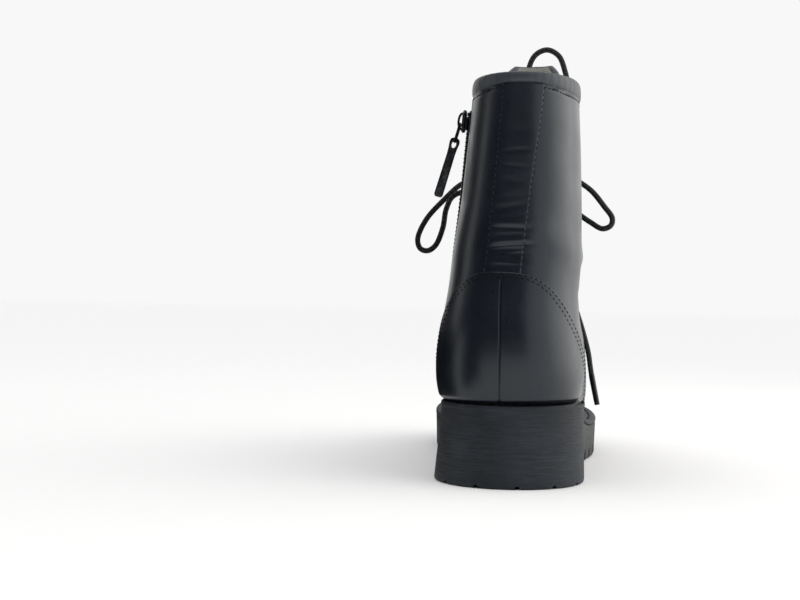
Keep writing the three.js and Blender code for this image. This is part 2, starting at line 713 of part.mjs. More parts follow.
// One run of lace that goes up from eyelet to eyelet, changing sides at each crossing.
function crossingPoints(firstSign) {
  const points = [];
  for (let k = 0; k < EYELET_PAIRS; k += 1) {
    const sign = k % 2 === 0 ? firstSign : -firstSign;
    const place = eyeletPlace(k);
    const turn = sign * eyeletTurn(place);
    points.push(offsetPoint(place, turn, LACE_LIFT));
    if (k + 1 === EYELET_PAIRS) break;
    const nextPlace = eyeletPlace(k + 1);
    const nextTurn = -sign * eyeletTurn(nextPlace);
    for (const share of [0.33, 0.67]) {
      const between = mix(place, nextPlace, share);
      points.push(offsetPoint(between, mix(turn, nextTurn, share), LACE_LIFT - LACE_DIP));
    }
  }
  return points;
}

// Both runs and the bar that joins their lowest eyelets, as one solid.
function lacesGeometry() {
  const steps = 5 * (EYELET_PAIRS - 1);
  const one = solid(tube(crossingPoints(1), LACE, steps));
  const other = solid(tube(crossingPoints(-1), LACE, steps));
  const place = eyeletPlace(0);
  const bar = [-1, -0.5, 0, 0.5, 1].map((share) =>
    offsetPoint(place - BAR_DROP, share * eyeletTurn(place), LACE_LIFT));
  return geometryOf(one.add(other).add(solid(tube(bar, LACE, 8))));
}

add("laces", lacesGeometry(), CORD);

// ---------------------------------------------------------------- bow, lace ends and slack arch

function knotGeometry() {
  const ball = new THREE.SphereGeometry(0.5, 10, 8);
  ball.scale(KNOT_SIZE.x, KNOT_SIZE.y, KNOT_SIZE.z);
  ball.translate(KNOT.x, KNOT.y, KNOT.z);
  return ball;
}

add("lace_knot", knotGeometry(), CORD);
for (const [name, route] of Object.entries(ROUTES)) {
  const points = route.map(([x, y, z]) => new THREE.Vector3(x, y, z));
  add(name, tube(points, LACE, LACE_STEPS[name]), CORD);
}

// ---------------------------------------------------------------- zip

// Tape and closed teeth down the medial side: thin at its edges, proud along the teeth.
function zipGeometry() {
  const rows = 21;
  const ASIDE = [-ZIP_HALF_WIDTH, -1.9, -1.3, 1.3, 1.9, ZIP_HALF_WIDTH];
  const PROUD = [ZIP_TAPE, ZIP_TAPE, ZIP_TEETH, ZIP_TEETH, ZIP_TAPE, ZIP_TAPE];
  const place = (i) => mix(ZIP_FIRST_RING, ZIP_LAST_RING, i / (rows - 1));
  const turn = (i, j) => zipTurn(place(i), ASIDE[j]);
  const outside = (i, j) => offsetPoint(place(i), turn(i, j), 2 * GAP + PROUD[j]);
  const inside = (i, j) => offsetPoint(place(i), turn(i, j), 2 * GAP);
  return sheet(rows, ASIDE.length, outside, inside, () => false);
}

add("zip_tape", zipGeometry(), CORD);

// The slider's own frame: y up along the zip, z straight out of the boot.
const sliderTurn = zipTurn(SLIDER_RING, 0);
const sliderFrame = surfaceFrame(SLIDER_RING, sliderTurn);
const sliderGroup = new THREE.Group();
sliderGroup.position.copy(offsetPoint(SLIDER_RING, sliderTurn, SLIDER_BASE));
const sliderAxes = new THREE.Matrix4().makeBasis(
  new THREE.Vector3().crossVectors(sliderFrame.up, sliderFrame.out),
  sliderFrame.up,
  sliderFrame.out,
);
sliderGroup.quaternion.setFromRotationMatrix(sliderAxes);
boot.add(sliderGroup);

// A plate, wide at its top, with a bridge that the pull's link passes under.
function sliderGeometry() {
  const halfLength = SLIDER_LENGTH / 2;
  const outline = mirroredShape(SLIDER_OUTLINE.map(({ across, along: up }) => ({
    x: (across * SLIDER_WIDTH) / 2,
    y: up * halfLength,
  })));
  const plate = new THREE.ExtrudeGeometry(outline, { depth: SLIDER_THICKNESS, bevelEnabled: false });
  const rise = BRIDGE_HEIGHT - BRIDGE_BAR;
  const legSize = new THREE.Vector3(BRIDGE_WIDTH, BRIDGE_BAR, rise + BRIDGE_BAR / 2);
  const legZ = SLIDER_THICKNESS + rise / 2;
  const barSize = new THREE.Vector3(BRIDGE_WIDTH, BRIDGE_SPAN * SLIDER_LENGTH, BRIDGE_BAR);
  const barZ = SLIDER_THICKNESS + rise + BRIDGE_BAR / 2;
  const reach = BRIDGE_SPAN * halfLength - BRIDGE_BAR / 2;
  return geometryOf(
    solid(plate)
      .add(boxSolid(legSize, new THREE.Vector3(0, reach, legZ)))
      .add(boxSolid(legSize, new THREE.Vector3(0, -reach, legZ)))
      .add(boxSolid(barSize, new THREE.Vector3(0, 0, barZ))),
  );
}

const slider = add("zip_slider", sliderGeometry(), METAL);
sliderGroup.add(slider);

// The pull hangs from a wire link that runs under the slider's bridge, and the strip is threaded on
// the link's lower bar, so its faces look along the boot. The pull's own frame has its pivot at the
// origin and hangs along -y, with z out of the boot.
function pullGeometry() {
  const wire = LINK_WIRE;
  const inner = BRIDGE_WIDTH + 2 * LINK_ROOM;
  const span = inner + 2 * wire;
  const bar = (w, h, x, y) =>
    boxSolid(new THREE.Vector3(w, h, wire), new THREE.Vector3(x, y, 0));
  const half = STRIP_WIDTH / 2;
  const outline = mirroredShape(PULL_OUTLINE.map(({ across, down }) => ({
    x: across * half,
    y: -STRIP_TOP - down,
  })));
  const hole = new THREE.Path();
  const { across, halfLength, down } = PULL_HOLE;
  hole.absellipse(0, -STRIP_TOP - down, half * across, halfLength, 0, 2 * Math.PI, true);
  const lower = halfLength - wire / 2 + LINK_BITE - STRIP_TOP - down;
  const sideLength = wire - lower;
  outline.holes.push(hole);
  const depth = PULL_THICKNESS;
  const strip = new THREE.ExtrudeGeometry(outline, { depth, bevelEnabled: false, curveSegments: 8 });
  strip.translate(0, 0, -depth / 2);
  strip.rotateY(Math.PI / 2);
  return geometryOf(
    solid(strip)
      .add(bar(span, wire, 0, 0))
      .add(bar(wire, sideLength, -(inner + wire) / 2, lower / 2))
      .add(bar(wire, sideLength, (inner + wire) / 2, lower / 2))
      .add(bar(span, wire, 0, lower)),
  );
}

// The surface leans at the zip, so the pull's turn is counted from the slider's own up.
const surfaceLean = THREE.MathUtils.radToDeg(Math.asin(sliderFrame.up.x));
const pull = add("zip_pull", pullGeometry(), METAL);
sliderGroup.add(pull);
pull.position.set(0, -PIVOT_DROP, PIVOT_LIFT + LINK_WIRE / 2);
pull.rotation.x = -THREE.MathUtils.degToRad(PULL_LEAN - surfaceLean);

export default boot;
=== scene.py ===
"""A right lace-up combat boot with a side zip: its leather, sole, zip and laces, on its frame.

Lengths are millimetres until a mesh is put into Blender, and the axes are the frame's own: +Z up,
+Y from heel to toe, +X to the outer (lateral) side, with the origin under the heel on the floor.
"""

import math

import bmesh
import bpy
import numpy as np
from mathutils import Matrix, Vector


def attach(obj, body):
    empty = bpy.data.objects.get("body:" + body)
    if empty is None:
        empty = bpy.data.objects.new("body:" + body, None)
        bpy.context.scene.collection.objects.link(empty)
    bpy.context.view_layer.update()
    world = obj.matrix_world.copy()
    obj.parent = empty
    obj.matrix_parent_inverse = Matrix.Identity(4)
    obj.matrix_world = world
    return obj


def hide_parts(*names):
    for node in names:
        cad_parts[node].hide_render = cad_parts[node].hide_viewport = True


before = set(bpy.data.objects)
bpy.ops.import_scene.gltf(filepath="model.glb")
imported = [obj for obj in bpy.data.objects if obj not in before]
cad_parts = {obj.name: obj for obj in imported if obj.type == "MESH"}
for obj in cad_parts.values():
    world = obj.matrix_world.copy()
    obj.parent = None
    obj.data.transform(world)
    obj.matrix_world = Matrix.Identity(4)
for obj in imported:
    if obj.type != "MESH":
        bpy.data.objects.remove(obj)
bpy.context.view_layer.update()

bl_info = {
    "name": "Combat boot",
    "version": (1, 0, 0),
    "blender": (4, 5, 0),
    "location": "3D View > Sidebar > Boot",
    "description": "Makes the leather, sole, zip and laces of a combat boot around its frame",
    "category": "Object",
}

MM = 0.001
BODY = "boot"
PULL_BODY = "pull"
FULL = 2 * math.pi

# ------------------------------------------------------------------ the last, as tables

SEAT_HEEL, SEAT_BALL, SEAT_TOE_SPRING = 41.0, 23.0, 7.0
SEAT_HEEL_END, SEAT_BALL_START, SEAT_BALL_END = 28.0, 122.0, 158.0
TOE_TIP, BREAST = 248.0, 37.0
ARCH_HEIGHT, ARCH_END = 27.0, 45.0
TREAD_START, TREAD_END, TREAD_TOE_SPRING = 106.0, 164.0, 9.0
WELT_THICKNESS, GAP, SEAT_GAP, WALL = 3.0, 0.3, 0.5, 2.2
COLLAR_RING, THROAT_RING, END_ROUNDNESS = 12.0, 6.0, 2.4
THROAT_LOW, THROAT_TOP = 9.0, 15.0
RING_MM = 16.4  # height of the shaft between two rings
CURL_DEPTH, CURL_RINGS = 1.9, 0.42  # of the leather's turned-in lower edge
FLEX_LOW, FLEX_RISE = 52.0, 18.0  # the flex folds set in above this height, over this much more
THROAT_MEETS, THROAT_BLEND = 5.7, 0.75  # rings over which the quarters' edge joins the throat's

# The foot's outline at equal steps from heel to toe.
FOOT_FIRST, FOOT_STEP = -40.0, 35.0
FOOT_COLUMNS = ("lateral", "medial", "centre", "ledge")
FOOT_ROWS = (
    (35.5, 34.5, 0.0, 1.2),
    (36.5, 35.0, 0.0, 1.2),
    (35.5, 33.0, 0.5, 1.4),
    (33.5, 30.5, 0.0, 2.4),
    (36.5, 33.5, -2.0, 5.0),
    (42.0, 37.5, -5.0, 9.0),
    (44.5, 40.0, -8.5, 8.5),
    (44.0, 40.5, -12.0, 8.0),
    (41.5, 40.5, -15.0, 6.5),
    (39.5, 39.5, -17.0, 6.0),
)
FOOT = dict(zip(FOOT_COLUMNS, np.array(FOOT_ROWS).T))

# The upper's rings, from the sole's edge to above the collar.
RING_COLUMNS = (
    "back_y", "back_z", "front_y", "front_z", "swell", "leg", "half", "lean", "droop",
    "front_round", "back_round",
)
RING_ROWS = (
    (-31.0, 41, 248, 30, 0.0, 0.00, 35.0, 0.0, 1.00, 172, 14),
    (-35.0, 49, 252, 38, 2.4, 0.00, 37.0, 0.0, 0.95, 170, 16),
    (-37.5, 61, 251, 50, 3.0, 0.10, 38.5, 0.0, 0.80, 160, 18),
    (-37.0, 74, 242, 64, 1.6, 0.25, 37.6, 0.2, 0.60, 138, 18),
    (-34.5, 87, 222, 74, -1.0, 0.45, 36.8, 0.2, 0.40, 106, 18),
    (-31.5, 99, 191, 82, -4.0, 0.65, 35.8, 1.0, 0.20, 66, 20),
    (-29.5, 111, 158, 92, -6.0, 0.85, 34.8, 2.2, 0.00, 48, 20),
    (-28.5, 124, 128, 108, -6.0, 1.00, 33.7, 3.2, 0.00, 36, 22),
    (-28.0, 139, 107, 128, -6.0, 1.00, 32.3, 4.2, 0.00, 30, 23),
    (-28.0, 155, 96, 150, -6.0, 1.00, 31.0, 5.0, 0.00, 28, 24),
    (-28.5, 172, 90, 171, -6.0, 1.00, 29.8, 5.6, 0.00, 27, 24),
    (-29.0, 189, 87, 190, -6.0, 1.00, 28.4, 6.0, 0.00, 27, 24),
    (-29.5, 205, 86, 208, -6.0, 1.00, 27.2, 6.3, 0.00, 27, 24),
    (-30.0, 221, 88, 226, -6.0, 1.00, 26.8, 6.8, 0.00, 27, 24),
    (-30.0, 237, 92, 244, -6.0, 1.00, 26.4, 7.2, 0.00, 27, 24),
)
RINGS = dict(zip(RING_COLUMNS, np.array(RING_ROWS, float).T))

# Soft folds round the ankle. A fold lies at a ring and an angle from the back line (positive to the
# medial side, in degrees), reaches that far to each side, and climbs by slope rings a degree.
FOLD_COLUMNS = ("ring", "angle", "reach", "slope", "bow", "width", "depth")
FOLD_ROWS = (
    (7.31, 2, 20, 0.001, 0.02, 1.2, 0.42),
    (7.46, 3, 17, 0.002, 0.02, 1.6, -0.12),
    (7.08, 1, 16, -0.003, 0.00, 1.6, 0.10),
    (6.86, 1, 19, -0.003, 0.00, 1.5, -0.40),
    (6.68, -1, 19, -0.005, 0.02, 1.1, 0.62),
    (6.50, -6, 11, -0.008, 0.00, 1.2, -0.30),
    (6.30, 2, 15, -0.004, 0.00, 1.9, 0.14),
    (6.04, 1, 17, 0.002, 0.02, 1.6, 0.30),
    (7.98, 4, 18, -0.007, 0.02, 2.4, 0.34),
    (7.72, 0, 15, -0.004, 0.00, 2.0, 0.12),
    (8.30, 2, 13, -0.005, 0.00, 2.2, 0.14),
    (9.25, 2, 16, 0.003, 0.00, 1.1, 0.14),
    (9.72, 1, 17, -0.002, 0.00, 1.0, 0.15),
    (8.80, 3, 13, 0.004, 0.00, 2.2, 0.13),
    (10.3, 0, 12, 0.003, 0.00, 2.0, 0.08),
    (6.60, 0, 46, 0.000, 0.10, 9.0, 0.80),
    (7.55, -42, 26, -0.012, 0.05, 9.0, 1.10),
    (6.65, -46, 24, -0.006, 0.05, 8.0, -0.60),
    (6.45, -98, 36, -0.010, 0.12, 6.0, 1.30),
    (7.10, -100, 32, -0.008, 0.10, 4.5, -0.70),
    (7.75, -102, 30, -0.006, 0.10, 5.0, 0.90),
    (5.55, -86, 34, -0.012, 0.12, 6.0, 0.90),
    (6.35, 100, 34, 0.012, 0.12, 6.0, 1.00),
    (7.60, 104, 28, 0.008, 0.10, 5.0, 0.70),
    (5.45, 92, 30, 0.012, 0.12, 6.0, 0.70),
    (9.40, -62, 30, 0.004, 0.00, 10.0, 0.50),
    (10.6, -52, 26, -0.004, 0.00, 8.0, -0.30),
    (8.60, 52, 22, 0.000, 0.00, 9.0, 0.35),
)
# Flex folds across the vamp, at a distance along the foot.
FLEX_COLUMNS = ("y", "centre", "reach", "bow", "width", "depth")
FLEX_ROWS = (
    (172.0, -8.0, 36.0, 9.0, 3.4, 0.75),
    (163.0, -6.0, 34.0, 8.0, 3.0, -0.35),
    (156.0, -6.0, 36.0, 7.0, 3.2, 0.60),
    (184.0, -10.0, 32.0, 9.0, 3.4, 0.35),
)


def spline(column, place):
    """A uniform cubic B-spline drawn towards a column's rows, meeting the end rows exactly."""
    last = len(column) - 1
    before, after = 2 * column[0] - column[1], 2 * column[-1] - column[-2]
    padded = np.concatenate([[before], column, [after, 2 * after - column[-1]]])
    at = np.clip(place, 0, last)
    i = np.minimum(last - 1, np.floor(at)).astype(int)
    u = at - i
    return (
        (1 - u) ** 3 * padded[i]
        + (3 * u**3 - 6 * u**2 + 4) * padded[i + 1]
        + (-3 * u**3 + 3 * u**2 + 3 * u + 1) * padded[i + 2]
        + u**3 * padded[i + 3]
    ) / 6


def mix(a, b, share):
    """a at share 0, b at share 1."""
    return a + (b - a) * share


def ease(share):
    """A smooth step from 0 to 1."""
    s = np.clip(share, 0, 1)
    return s * s * (3 - 2 * s)


def squared(wave, power):
    """A sine or cosine drawn towards a square wave: its sign kept, its size raised to a power."""
    return np.sign(wave) * np.abs(wave) ** power


def unit(vectors):
    """Each vector at length 1."""
    return vectors / np.maximum(np.linalg.norm(vectors, axis=-1, keepdims=True), 1e-12)


def foot(column, y):
    """A column of the foot's table at a distance along the foot."""
    return spline(FOOT[column], (y - FOOT_FIRST) / FOOT_STEP)


def seat(y):
    """Height of the welt's top: level under the heel, falling to the ball, rising to the toe."""
    fall = ease((y - SEAT_HEEL_END) / (SEAT_BALL_START - SEAT_HEEL_END))
    spring = np.maximum(0, (y - SEAT_BALL_END) / (TOE_TIP - SEAT_BALL_END))
    return mix(SEAT_HEEL, SEAT_BALL, fall) + SEAT_TOE_SPRING * spring**2


def tread(y):
    """Height of the sole's underside: arched at the waist, flat at the ball, rising to the toe."""
    fall = ease((y - ARCH_END) / (TREAD_START - ARCH_END))
    spring = np.maximum(0, (y - TREAD_END) / (TOE_TIP - TREAD_END))
    return ARCH_HEIGHT * (1 - fall) + TREAD_TOE_SPRING * spring**2


def closing(y, start, tip):
    """How far a ring's end has closed, 1 in its middle and 0 at its tip: a superellipse."""
    s = np.clip((y - start) / (tip - start), 0, 1)
    return np.sqrt(np.maximum(0, 1 - s**END_ROUNDNESS))


def bare_surface(place, turn, raised=SEAT_GAP):
    """Points of the last's outer surface.

    A ring joins its back point to its front point, and its width is the foot's outline blended
    into the leg's own half width. turn is 0 on the front ridge and pi on the back line.
    """
    place, turn = np.broadcast_arrays(np.asarray(place, float), np.asarray(turn, float))
    ring = {name: spline(column, place) for name, column in RINGS.items()}
    share = (1 + np.cos(turn)) / 2
    y = mix(ring["back_y"], ring["front_y"], share)
    chord = mix(seat(RINGS["back_y"][0]), seat(RINGS["front_y"][0]), share)
    z = mix(ring["back_z"], ring["front_z"], share) + ring["droop"] * (seat(y) - chord)
    lateral = np.sin(turn) >= 0
    foot_half = np.where(lateral, foot("lateral", y), foot("medial", y)) + ring["swell"]
    half = mix(foot_half, ring["half"], ring["leg"])
    ends = closing(y, ring["front_round"], ring["front_y"])
    ends = ends * closing(y, ring["back_round"], ring["back_y"])
    centre = foot("centre", y) * (1 - ring["leg"]) + ring["lean"]
    return np.stack([centre + np.where(lateral, 1, -1) * half * ends, y, z + raised], -1)


def surface_frame(place, turn, raised=SEAT_GAP):
    """Unit vectors up the boot, round it and straight out of the leather, by small differences."""
    step = 0.02
    top = len(RING_ROWS) - 1
    above = bare_surface(np.minimum(top, place + step), turn, raised)
    below = bare_surface(np.maximum(0, place - step), turn, raised)
    ahead = bare_surface(place, turn + step, raised)
    behind = bare_surface(place, turn - step, raised)
    up = unit(above - below)
    out = unit(np.cross(up, unit(ahead - behind)))
    return up, np.cross(out, up), out


def back_angle(turn):
    """Degrees from the back line, positive to the medial side."""
    return np.degrees(np.mod(turn, FULL)) - 180


def folds(place, turn, points):
    """How far the leather sinks: each fold is a smooth trough, or a ridge where it is negative."""
    angle = back_angle(turn)
    sunk = np.zeros(np.shape(angle))
    for row in FOLD_ROWS:
        fold = dict(zip(FOLD_COLUMNS, row))
        along = (angle - fold["angle"]) / fold["reach"]
        middle = fold["ring"] + fold["slope"] * (angle - fold["angle"]) + fold["bow"] * along**2
        across = (place - middle) * RING_MM / fold["width"]
        sunk += fold["depth"] * np.exp(-(across**2)) * np.clip(1 - along**2, 0, 1) ** 1.5
    x, y, z = np.moveaxis(points, -1, 0)
    over = ease((z - FLEX_LOW) / FLEX_RISE)
    for row in FLEX_ROWS:
        fold = dict(zip(FLEX_COLUMNS, row))
        along = (x - fold["centre"]) / fold["reach"]
        across = (y - fold["y"] + fold["bow"] * along**2) / fold["width"]
        sunk += over * fold["depth"] * np.exp(-(across**2)) * np.clip(1 - along**2, 0, 1) ** 2
    return sunk


def skin(place, turn, lift):
    """The leather's surface with its folds, moved straight out by lift.

    Its lowest millimetres curl inwards, where it was drawn under the last.
    """
    place, turn = np.broadcast_arrays(np.asarray(place, float), np.asarray(turn, float))
    points = bare_surface(place, turn)
    out = surface_frame(place, turn)[2]
    curl = CURL_DEPTH * np.clip(1 - place / CURL_RINGS, 0, 1) ** 2
    return points + out * np.expand_dims(lift - folds(place, turn, points) - curl, -1)


def ring_values(place, *names):
    """Some of the rings' columns at a place counted in rings."""
    return [spline(RINGS[name], place) for name in names]


def turn_at_half(place, half):
    """The turn at which the surface is a distance to the side of the front ridge."""
    back_y, front_y, front_round, swell, leg, own = ring_values(
        place, "back_y", "front_y", "front_round", "swell", "leg", "half"
    )
    widest = mix(foot("lateral", front_y) + swell, own, leg)
    side = np.clip(half / widest, 0, 0.98)
    y = mix(front_round, front_y, (1 - side**2) ** (1 / END_ROUNDNESS))
    return np.arccos(np.clip(2 * (y - back_y) / (front_y - back_y) - 1, -1, 1))


def turn_at_y(place, y):
    """The turn at which a ring has come to a distance along the foot."""
    back_y, front_y = ring_values(place, "back_y", "front_y")
    return np.arccos(np.clip(2 * (y - back_y) / (front_y - back_y) - 1, -1, 1))


def throat_half(place):
    """Half the throat's opening between the eyelet facings."""
    rise = np.clip((place - THROAT_RING) / (COLLAR_RING - THROAT_RING), 0, 1)
    return mix(THROAT_LOW, THROAT_TOP, rise)


# Where the quarters' front edge crosses each ring from the sole up to the throat's foot.
QUARTER_EDGE_Y = np.array([106, 112, 120, 129, 138, 145, 148, 148], float)


def quarter_edge(place):
    """The turn of the quarters' front edge: a sweep up the side that runs into the throat."""
    low = turn_at_y(place, spline(QUARTER_EDGE_Y, place))
    high = turn_at_half(place, throat_half(place))
    return mix(low, high, ease((place - THROAT_MEETS) / THROAT_BLEND))


# ------------------------------------------------------------------ meshes from arrays

WELD = 2e-4  # mm within which corners are one
EDGE_STEPS = np.array([0.0, 0.12, 0.35, 0.7])  # mm in from an edge, where it rolls over
EDGE_BAND = 1.2  # mm in from an edge, where even steps begin
SHARP_ANGLE = 48.0  # degrees between two faces, past which their edge is sharp
MAP_BATCH = 2000  # corners of a cord looked up at a time, to spare memory


def weld(points, faces):
    """Joins corners that coincide, and turns a face with a corner lost into a triangle."""
    keys = np.round(points / WELD).astype(np.int64)
    _, first, inverse = np.unique(keys, axis=0, return_index=True, return_inverse=True)
    faces = inverse.reshape(-1)[faces]
    same = faces == np.roll(faces, -1, axis=1)
    lost = same.sum(1)
    whole = faces[lost == 0]
    pinched = faces[lost == 1]
    triangles = pinched[~same[lost == 1]].reshape(-1, 3)
    return points[first], [*whole.tolist(), *triangles.tolist()]


def grid_faces(rows, columns, start=0):
    """The four-cornered faces of a grid of rows by columns."""
    i, j = np.meshgrid(np.arange(rows - 1), np.arange(columns - 1), indexing="ij")
    a = i * columns + j
    faces = np.stack([a, a + columns, a + columns + 1, a + 1], -1)
    return faces.reshape(-1, 4) + start


def shell(outer, inner):
    """A closed sheet: its outer face, its inner face turned round, and the rim between them."""
    rows, columns = outer.shape[:2]
    count = rows * columns
    ids = np.arange(count).reshape(rows, columns)
    rims = []
    for edge in (ids[0], ids[-1][::-1], ids[::-1, 0], ids[:, -1]):
        rims.append(np.stack([edge[:-1], edge[1:], edge[1:] + count, edge[:-1] + count], -1))
    faces = [grid_faces(rows, columns), grid_faces(rows, columns, count)[:, ::-1], *rims]
    points = np.concatenate([outer.reshape(-1, 3), inner.reshape(-1, 3)])
    return points, np.concatenate(faces)


def loft(rings, closed=False):
    """Closed rings joined one to the next, with each end drawn to its middle unless it closes."""
    rings = np.concatenate([rings, rings[:, :1]], axis=1)
    if closed:
        rings = np.concatenate([rings, rings[:1]])
        return rings.reshape(-1, 3), grid_faces(*rings.shape[:2])
    ends = rings[[0, -1], :-1].mean(axis=1)
    caps = np.broadcast_to(ends[:, None], (2, rings.shape[1], 3))
    rings = np.concatenate([caps[:1], rings, caps[1:]])
    return rings.reshape(-1, 3), grid_faces(*rings.shape[:2])


def joined(parts):
    """Several (points, faces) pairs as one."""
    points, faces, start = [], [], 0
    for part_points, part_faces in parts:
        points.append(part_points)
        faces.append(part_faces + start)
        start += len(part_points)
    return np.concatenate(points), np.concatenate(faces)


def copies(points, faces, origins, axes):
    """A small shape set down many times: axes holds each copy's own x, y and z directions."""
    placed = origins[:, None] + np.einsum("mk,nkd->nmd", points, axes)
    starts = np.arange(len(origins)) * len(points)
    return placed.reshape(-1, 3), (faces[None] + starts[:, None, None]).reshape(-1, 4)


def spaced(count, length):
    """Shares from 0 to 1 along a length, close together at both ends."""
    near = EDGE_STEPS / length
    middle = np.linspace(EDGE_BAND / length, 1 - EDGE_BAND / length, count)
    return np.concatenate([near, middle, 1 - near[::-1]])


def rolled(shares, length, radius=0.9):
    """1 over a panel, falling to 0 at its edges along a quarter circle."""
    s = np.clip(1 - np.minimum(shares, 1 - shares) * length / radius, 0, 1)
    return np.sqrt(1 - s * s)


def lengths(points):
    """The distance along a line of points at each of them."""
    steps = np.linalg.norm(np.diff(points, axis=0), axis=-1)
    return np.concatenate([[0], np.cumsum(steps)])


def resampled(points, step):
    """The same line at even steps."""
    far = lengths(points)
    at = np.linspace(0, far[-1], max(2, int(round(far[-1] / step)) + 1))
    return np.stack([np.interp(at, far, points[:, k]) for k in range(points.shape[1])], -1)


def curve_through(route, step=1.2):
    """A centripetal Catmull-Rom curve through a route's points, at even steps."""
    p = np.asarray(route, float)
    p = np.concatenate([[2 * p[0] - p[1]], p, [2 * p[-1] - p[-2]]])
    knots = np.sqrt(np.linalg.norm(np.diff(p, axis=0), axis=-1))[:, None]
    d0, d1, d2 = knots[:-2], knots[1:-1], knots[2:]
    a, b, c, d = p[:-3], p[1:-2], p[2:-1], p[3:]
    leave = ((b - a) / d0 - (c - a) / (d0 + d1) + (c - b) / d1) * d1
    arrive = ((c - b) / d1 - (d - b) / (d1 + d2) + (d - c) / d2) * d1
    t = np.linspace(0, 1, 24, endpoint=False)[None, :, None]
    b, c, leave, arrive = (v[:, None] for v in (b, c, leave, arrive))
    made = (
        (2 * t**3 - 3 * t**2 + 1) * b
        + (t**3 - 2 * t**2 + t) * leave
        + (3 * t**2 - 2 * t**3) * c
        + (t**3 - t**2) * arrive
    )
    return resampled(np.concatenate([made.reshape(-1, 3), p[-2:-1]]), step)


def line_frames(points):
    """Directions along a line and two across it, which turn as little as they can."""
    along = unit(np.gradient(points, axis=0))
    side = np.empty_like(along)
    first = np.eye(3)[np.argmin(np.abs(along[0]))]
    side[0] = unit(first - along[0] * (first @ along[0]))
    for k in range(1, len(points)):
        kept = side[k - 1] - along[k] * (side[k - 1] @ along[k])
        side[k] = kept / np.linalg.norm(kept)
    return along, side, np.cross(along, side)


def tube(points, radius, sides):
    """A round tube along a line; radius may change along it."""
    _, side, other = line_frames(points)
    angle = np.linspace(0, FULL, sides, endpoint=False)[None, :, None]
    radius = np.broadcast_to(radius, len(points))[:, None, None]
    ring = np.cos(angle) * side[:, None] + np.sin(angle) * other[:, None]
    return loft(points[:, None] + radius * ring)


def put(name, shape, material, body=BODY, stands_for=()):
    """Puts (points, faces) in millimetres into the scene as one piece that rides on a body."""
    points, faces = weld(*shape)
    mesh = bpy.data.meshes.new(name)
    mesh.from_pydata((points * MM).tolist(), [], faces)
    mesh.materials.append(material)
    piece = bpy.data.objects.new(name, mesh)
    bpy.context.scene.collection.objects.link(piece)
    work = bmesh.new()
    work.from_mesh(mesh)
    bmesh.ops.recalc_face_normals(work, faces=work.faces)
    work.to_mesh(mesh)
    work.free()
    mesh.shade_smooth()
    mesh.set_sharp_from_angle(angle=math.radians(SHARP_ANGLE))
    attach(piece, body)
    if stands_for:
        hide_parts(*stands_for)
    return piece


def cord_map(piece, path, diameter):
    """Gives a tube its own map: turns round it, and diameters along it."""
    mesh = piece.data
    at = np.empty(len(mesh.vertices) * 3)
    mesh.vertices.foreach_get("co", at)
    at = at.reshape(-1, 3) / MM
    far = lengths(path)
    along, side, other = line_frames(path)
    nearest = np.empty(len(at), int)
    for start in range(0, len(at), MAP_BATCH):
        batch = slice(start, start + MAP_BATCH)
        nearest[batch] = np.linalg.norm(at[batch, None] - path[None], axis=-1).argmin(1)
    offset = at - path[nearest]
    v = (far[nearest] + (offset * along[nearest]).sum(-1)) / diameter
    u = np.arctan2((offset * other[nearest]).sum(-1), (offset * side[nearest]).sum(-1)) / FULL
    loops = np.empty(len(mesh.loops), int)
    mesh.loops.foreach_get("vertex_index", loops)
    starts = np.empty(len(mesh.polygons), int)
    totals = np.empty(len(mesh.polygons), int)
    mesh.polygons.foreach_get("loop_start", starts)
    mesh.polygons.foreach_get("loop_total", totals)
    owner = np.repeat(np.arange(len(starts)), totals)
    corner_u = u[loops]
    lead = corner_u[starts][owner]
    corner_u = corner_u + np.round(lead - corner_u)
    uv = mesh.uv_layers.new(name="cord")
    uv.data.foreach_set("uv", np.stack([corner_u, v[loops]], -1).ravel().astype(np.float32))


# ------------------------------------------------------------------ sizes and colours


def linear(code):
    """An sRGB hex colour as linear red, green, blue and alpha."""
    parts = [int(code[k : k + 2], 16) / 255 for k in (1, 3, 5)]
    return (*[c / 12.92 if c <= 0.04045 else ((c + 0.055) / 1.055) ** 2.4 for c in parts], 1.0)


def size_property(name, description, default):
    """A length in metres that a user may change."""
    return bpy.props.FloatProperty(
        name=name, description=description, default=default, min=0, unit="LENGTH", precision=5
    )


def colour_property(name, description, code):
    """A colour that a user may change."""
    return bpy.props.FloatVectorProperty(
        name=name, description=description, default=linear(code), size=4, min=0, max=1,
        subtype="COLOR",
    )


class BootSizes(bpy.types.PropertyGroup):
    """Sizes of the leather, thread, lace and hardware."""

    leather: size_property("Leather", "Thickness of the upper's leather", 0.0015)
    overlay: size_property("Overlay", "How far a stitched-on panel stands proud", 0.001)
    lace: size_property("Lace", "Diameter of the round lace", 0.0032)
    thread: size_property("Thread", "Diameter of the sewing thread", 0.00062)
    stitch: size_property("Stitch", "Length of one stitch with its gap", 0.0029)
    welt_stitch: size_property("Welt stitch", "Length of one welt stitch with its gap", 0.0048)
    tooth: size_property("Zip tooth", "Distance between teeth on one tape", 0.0022)


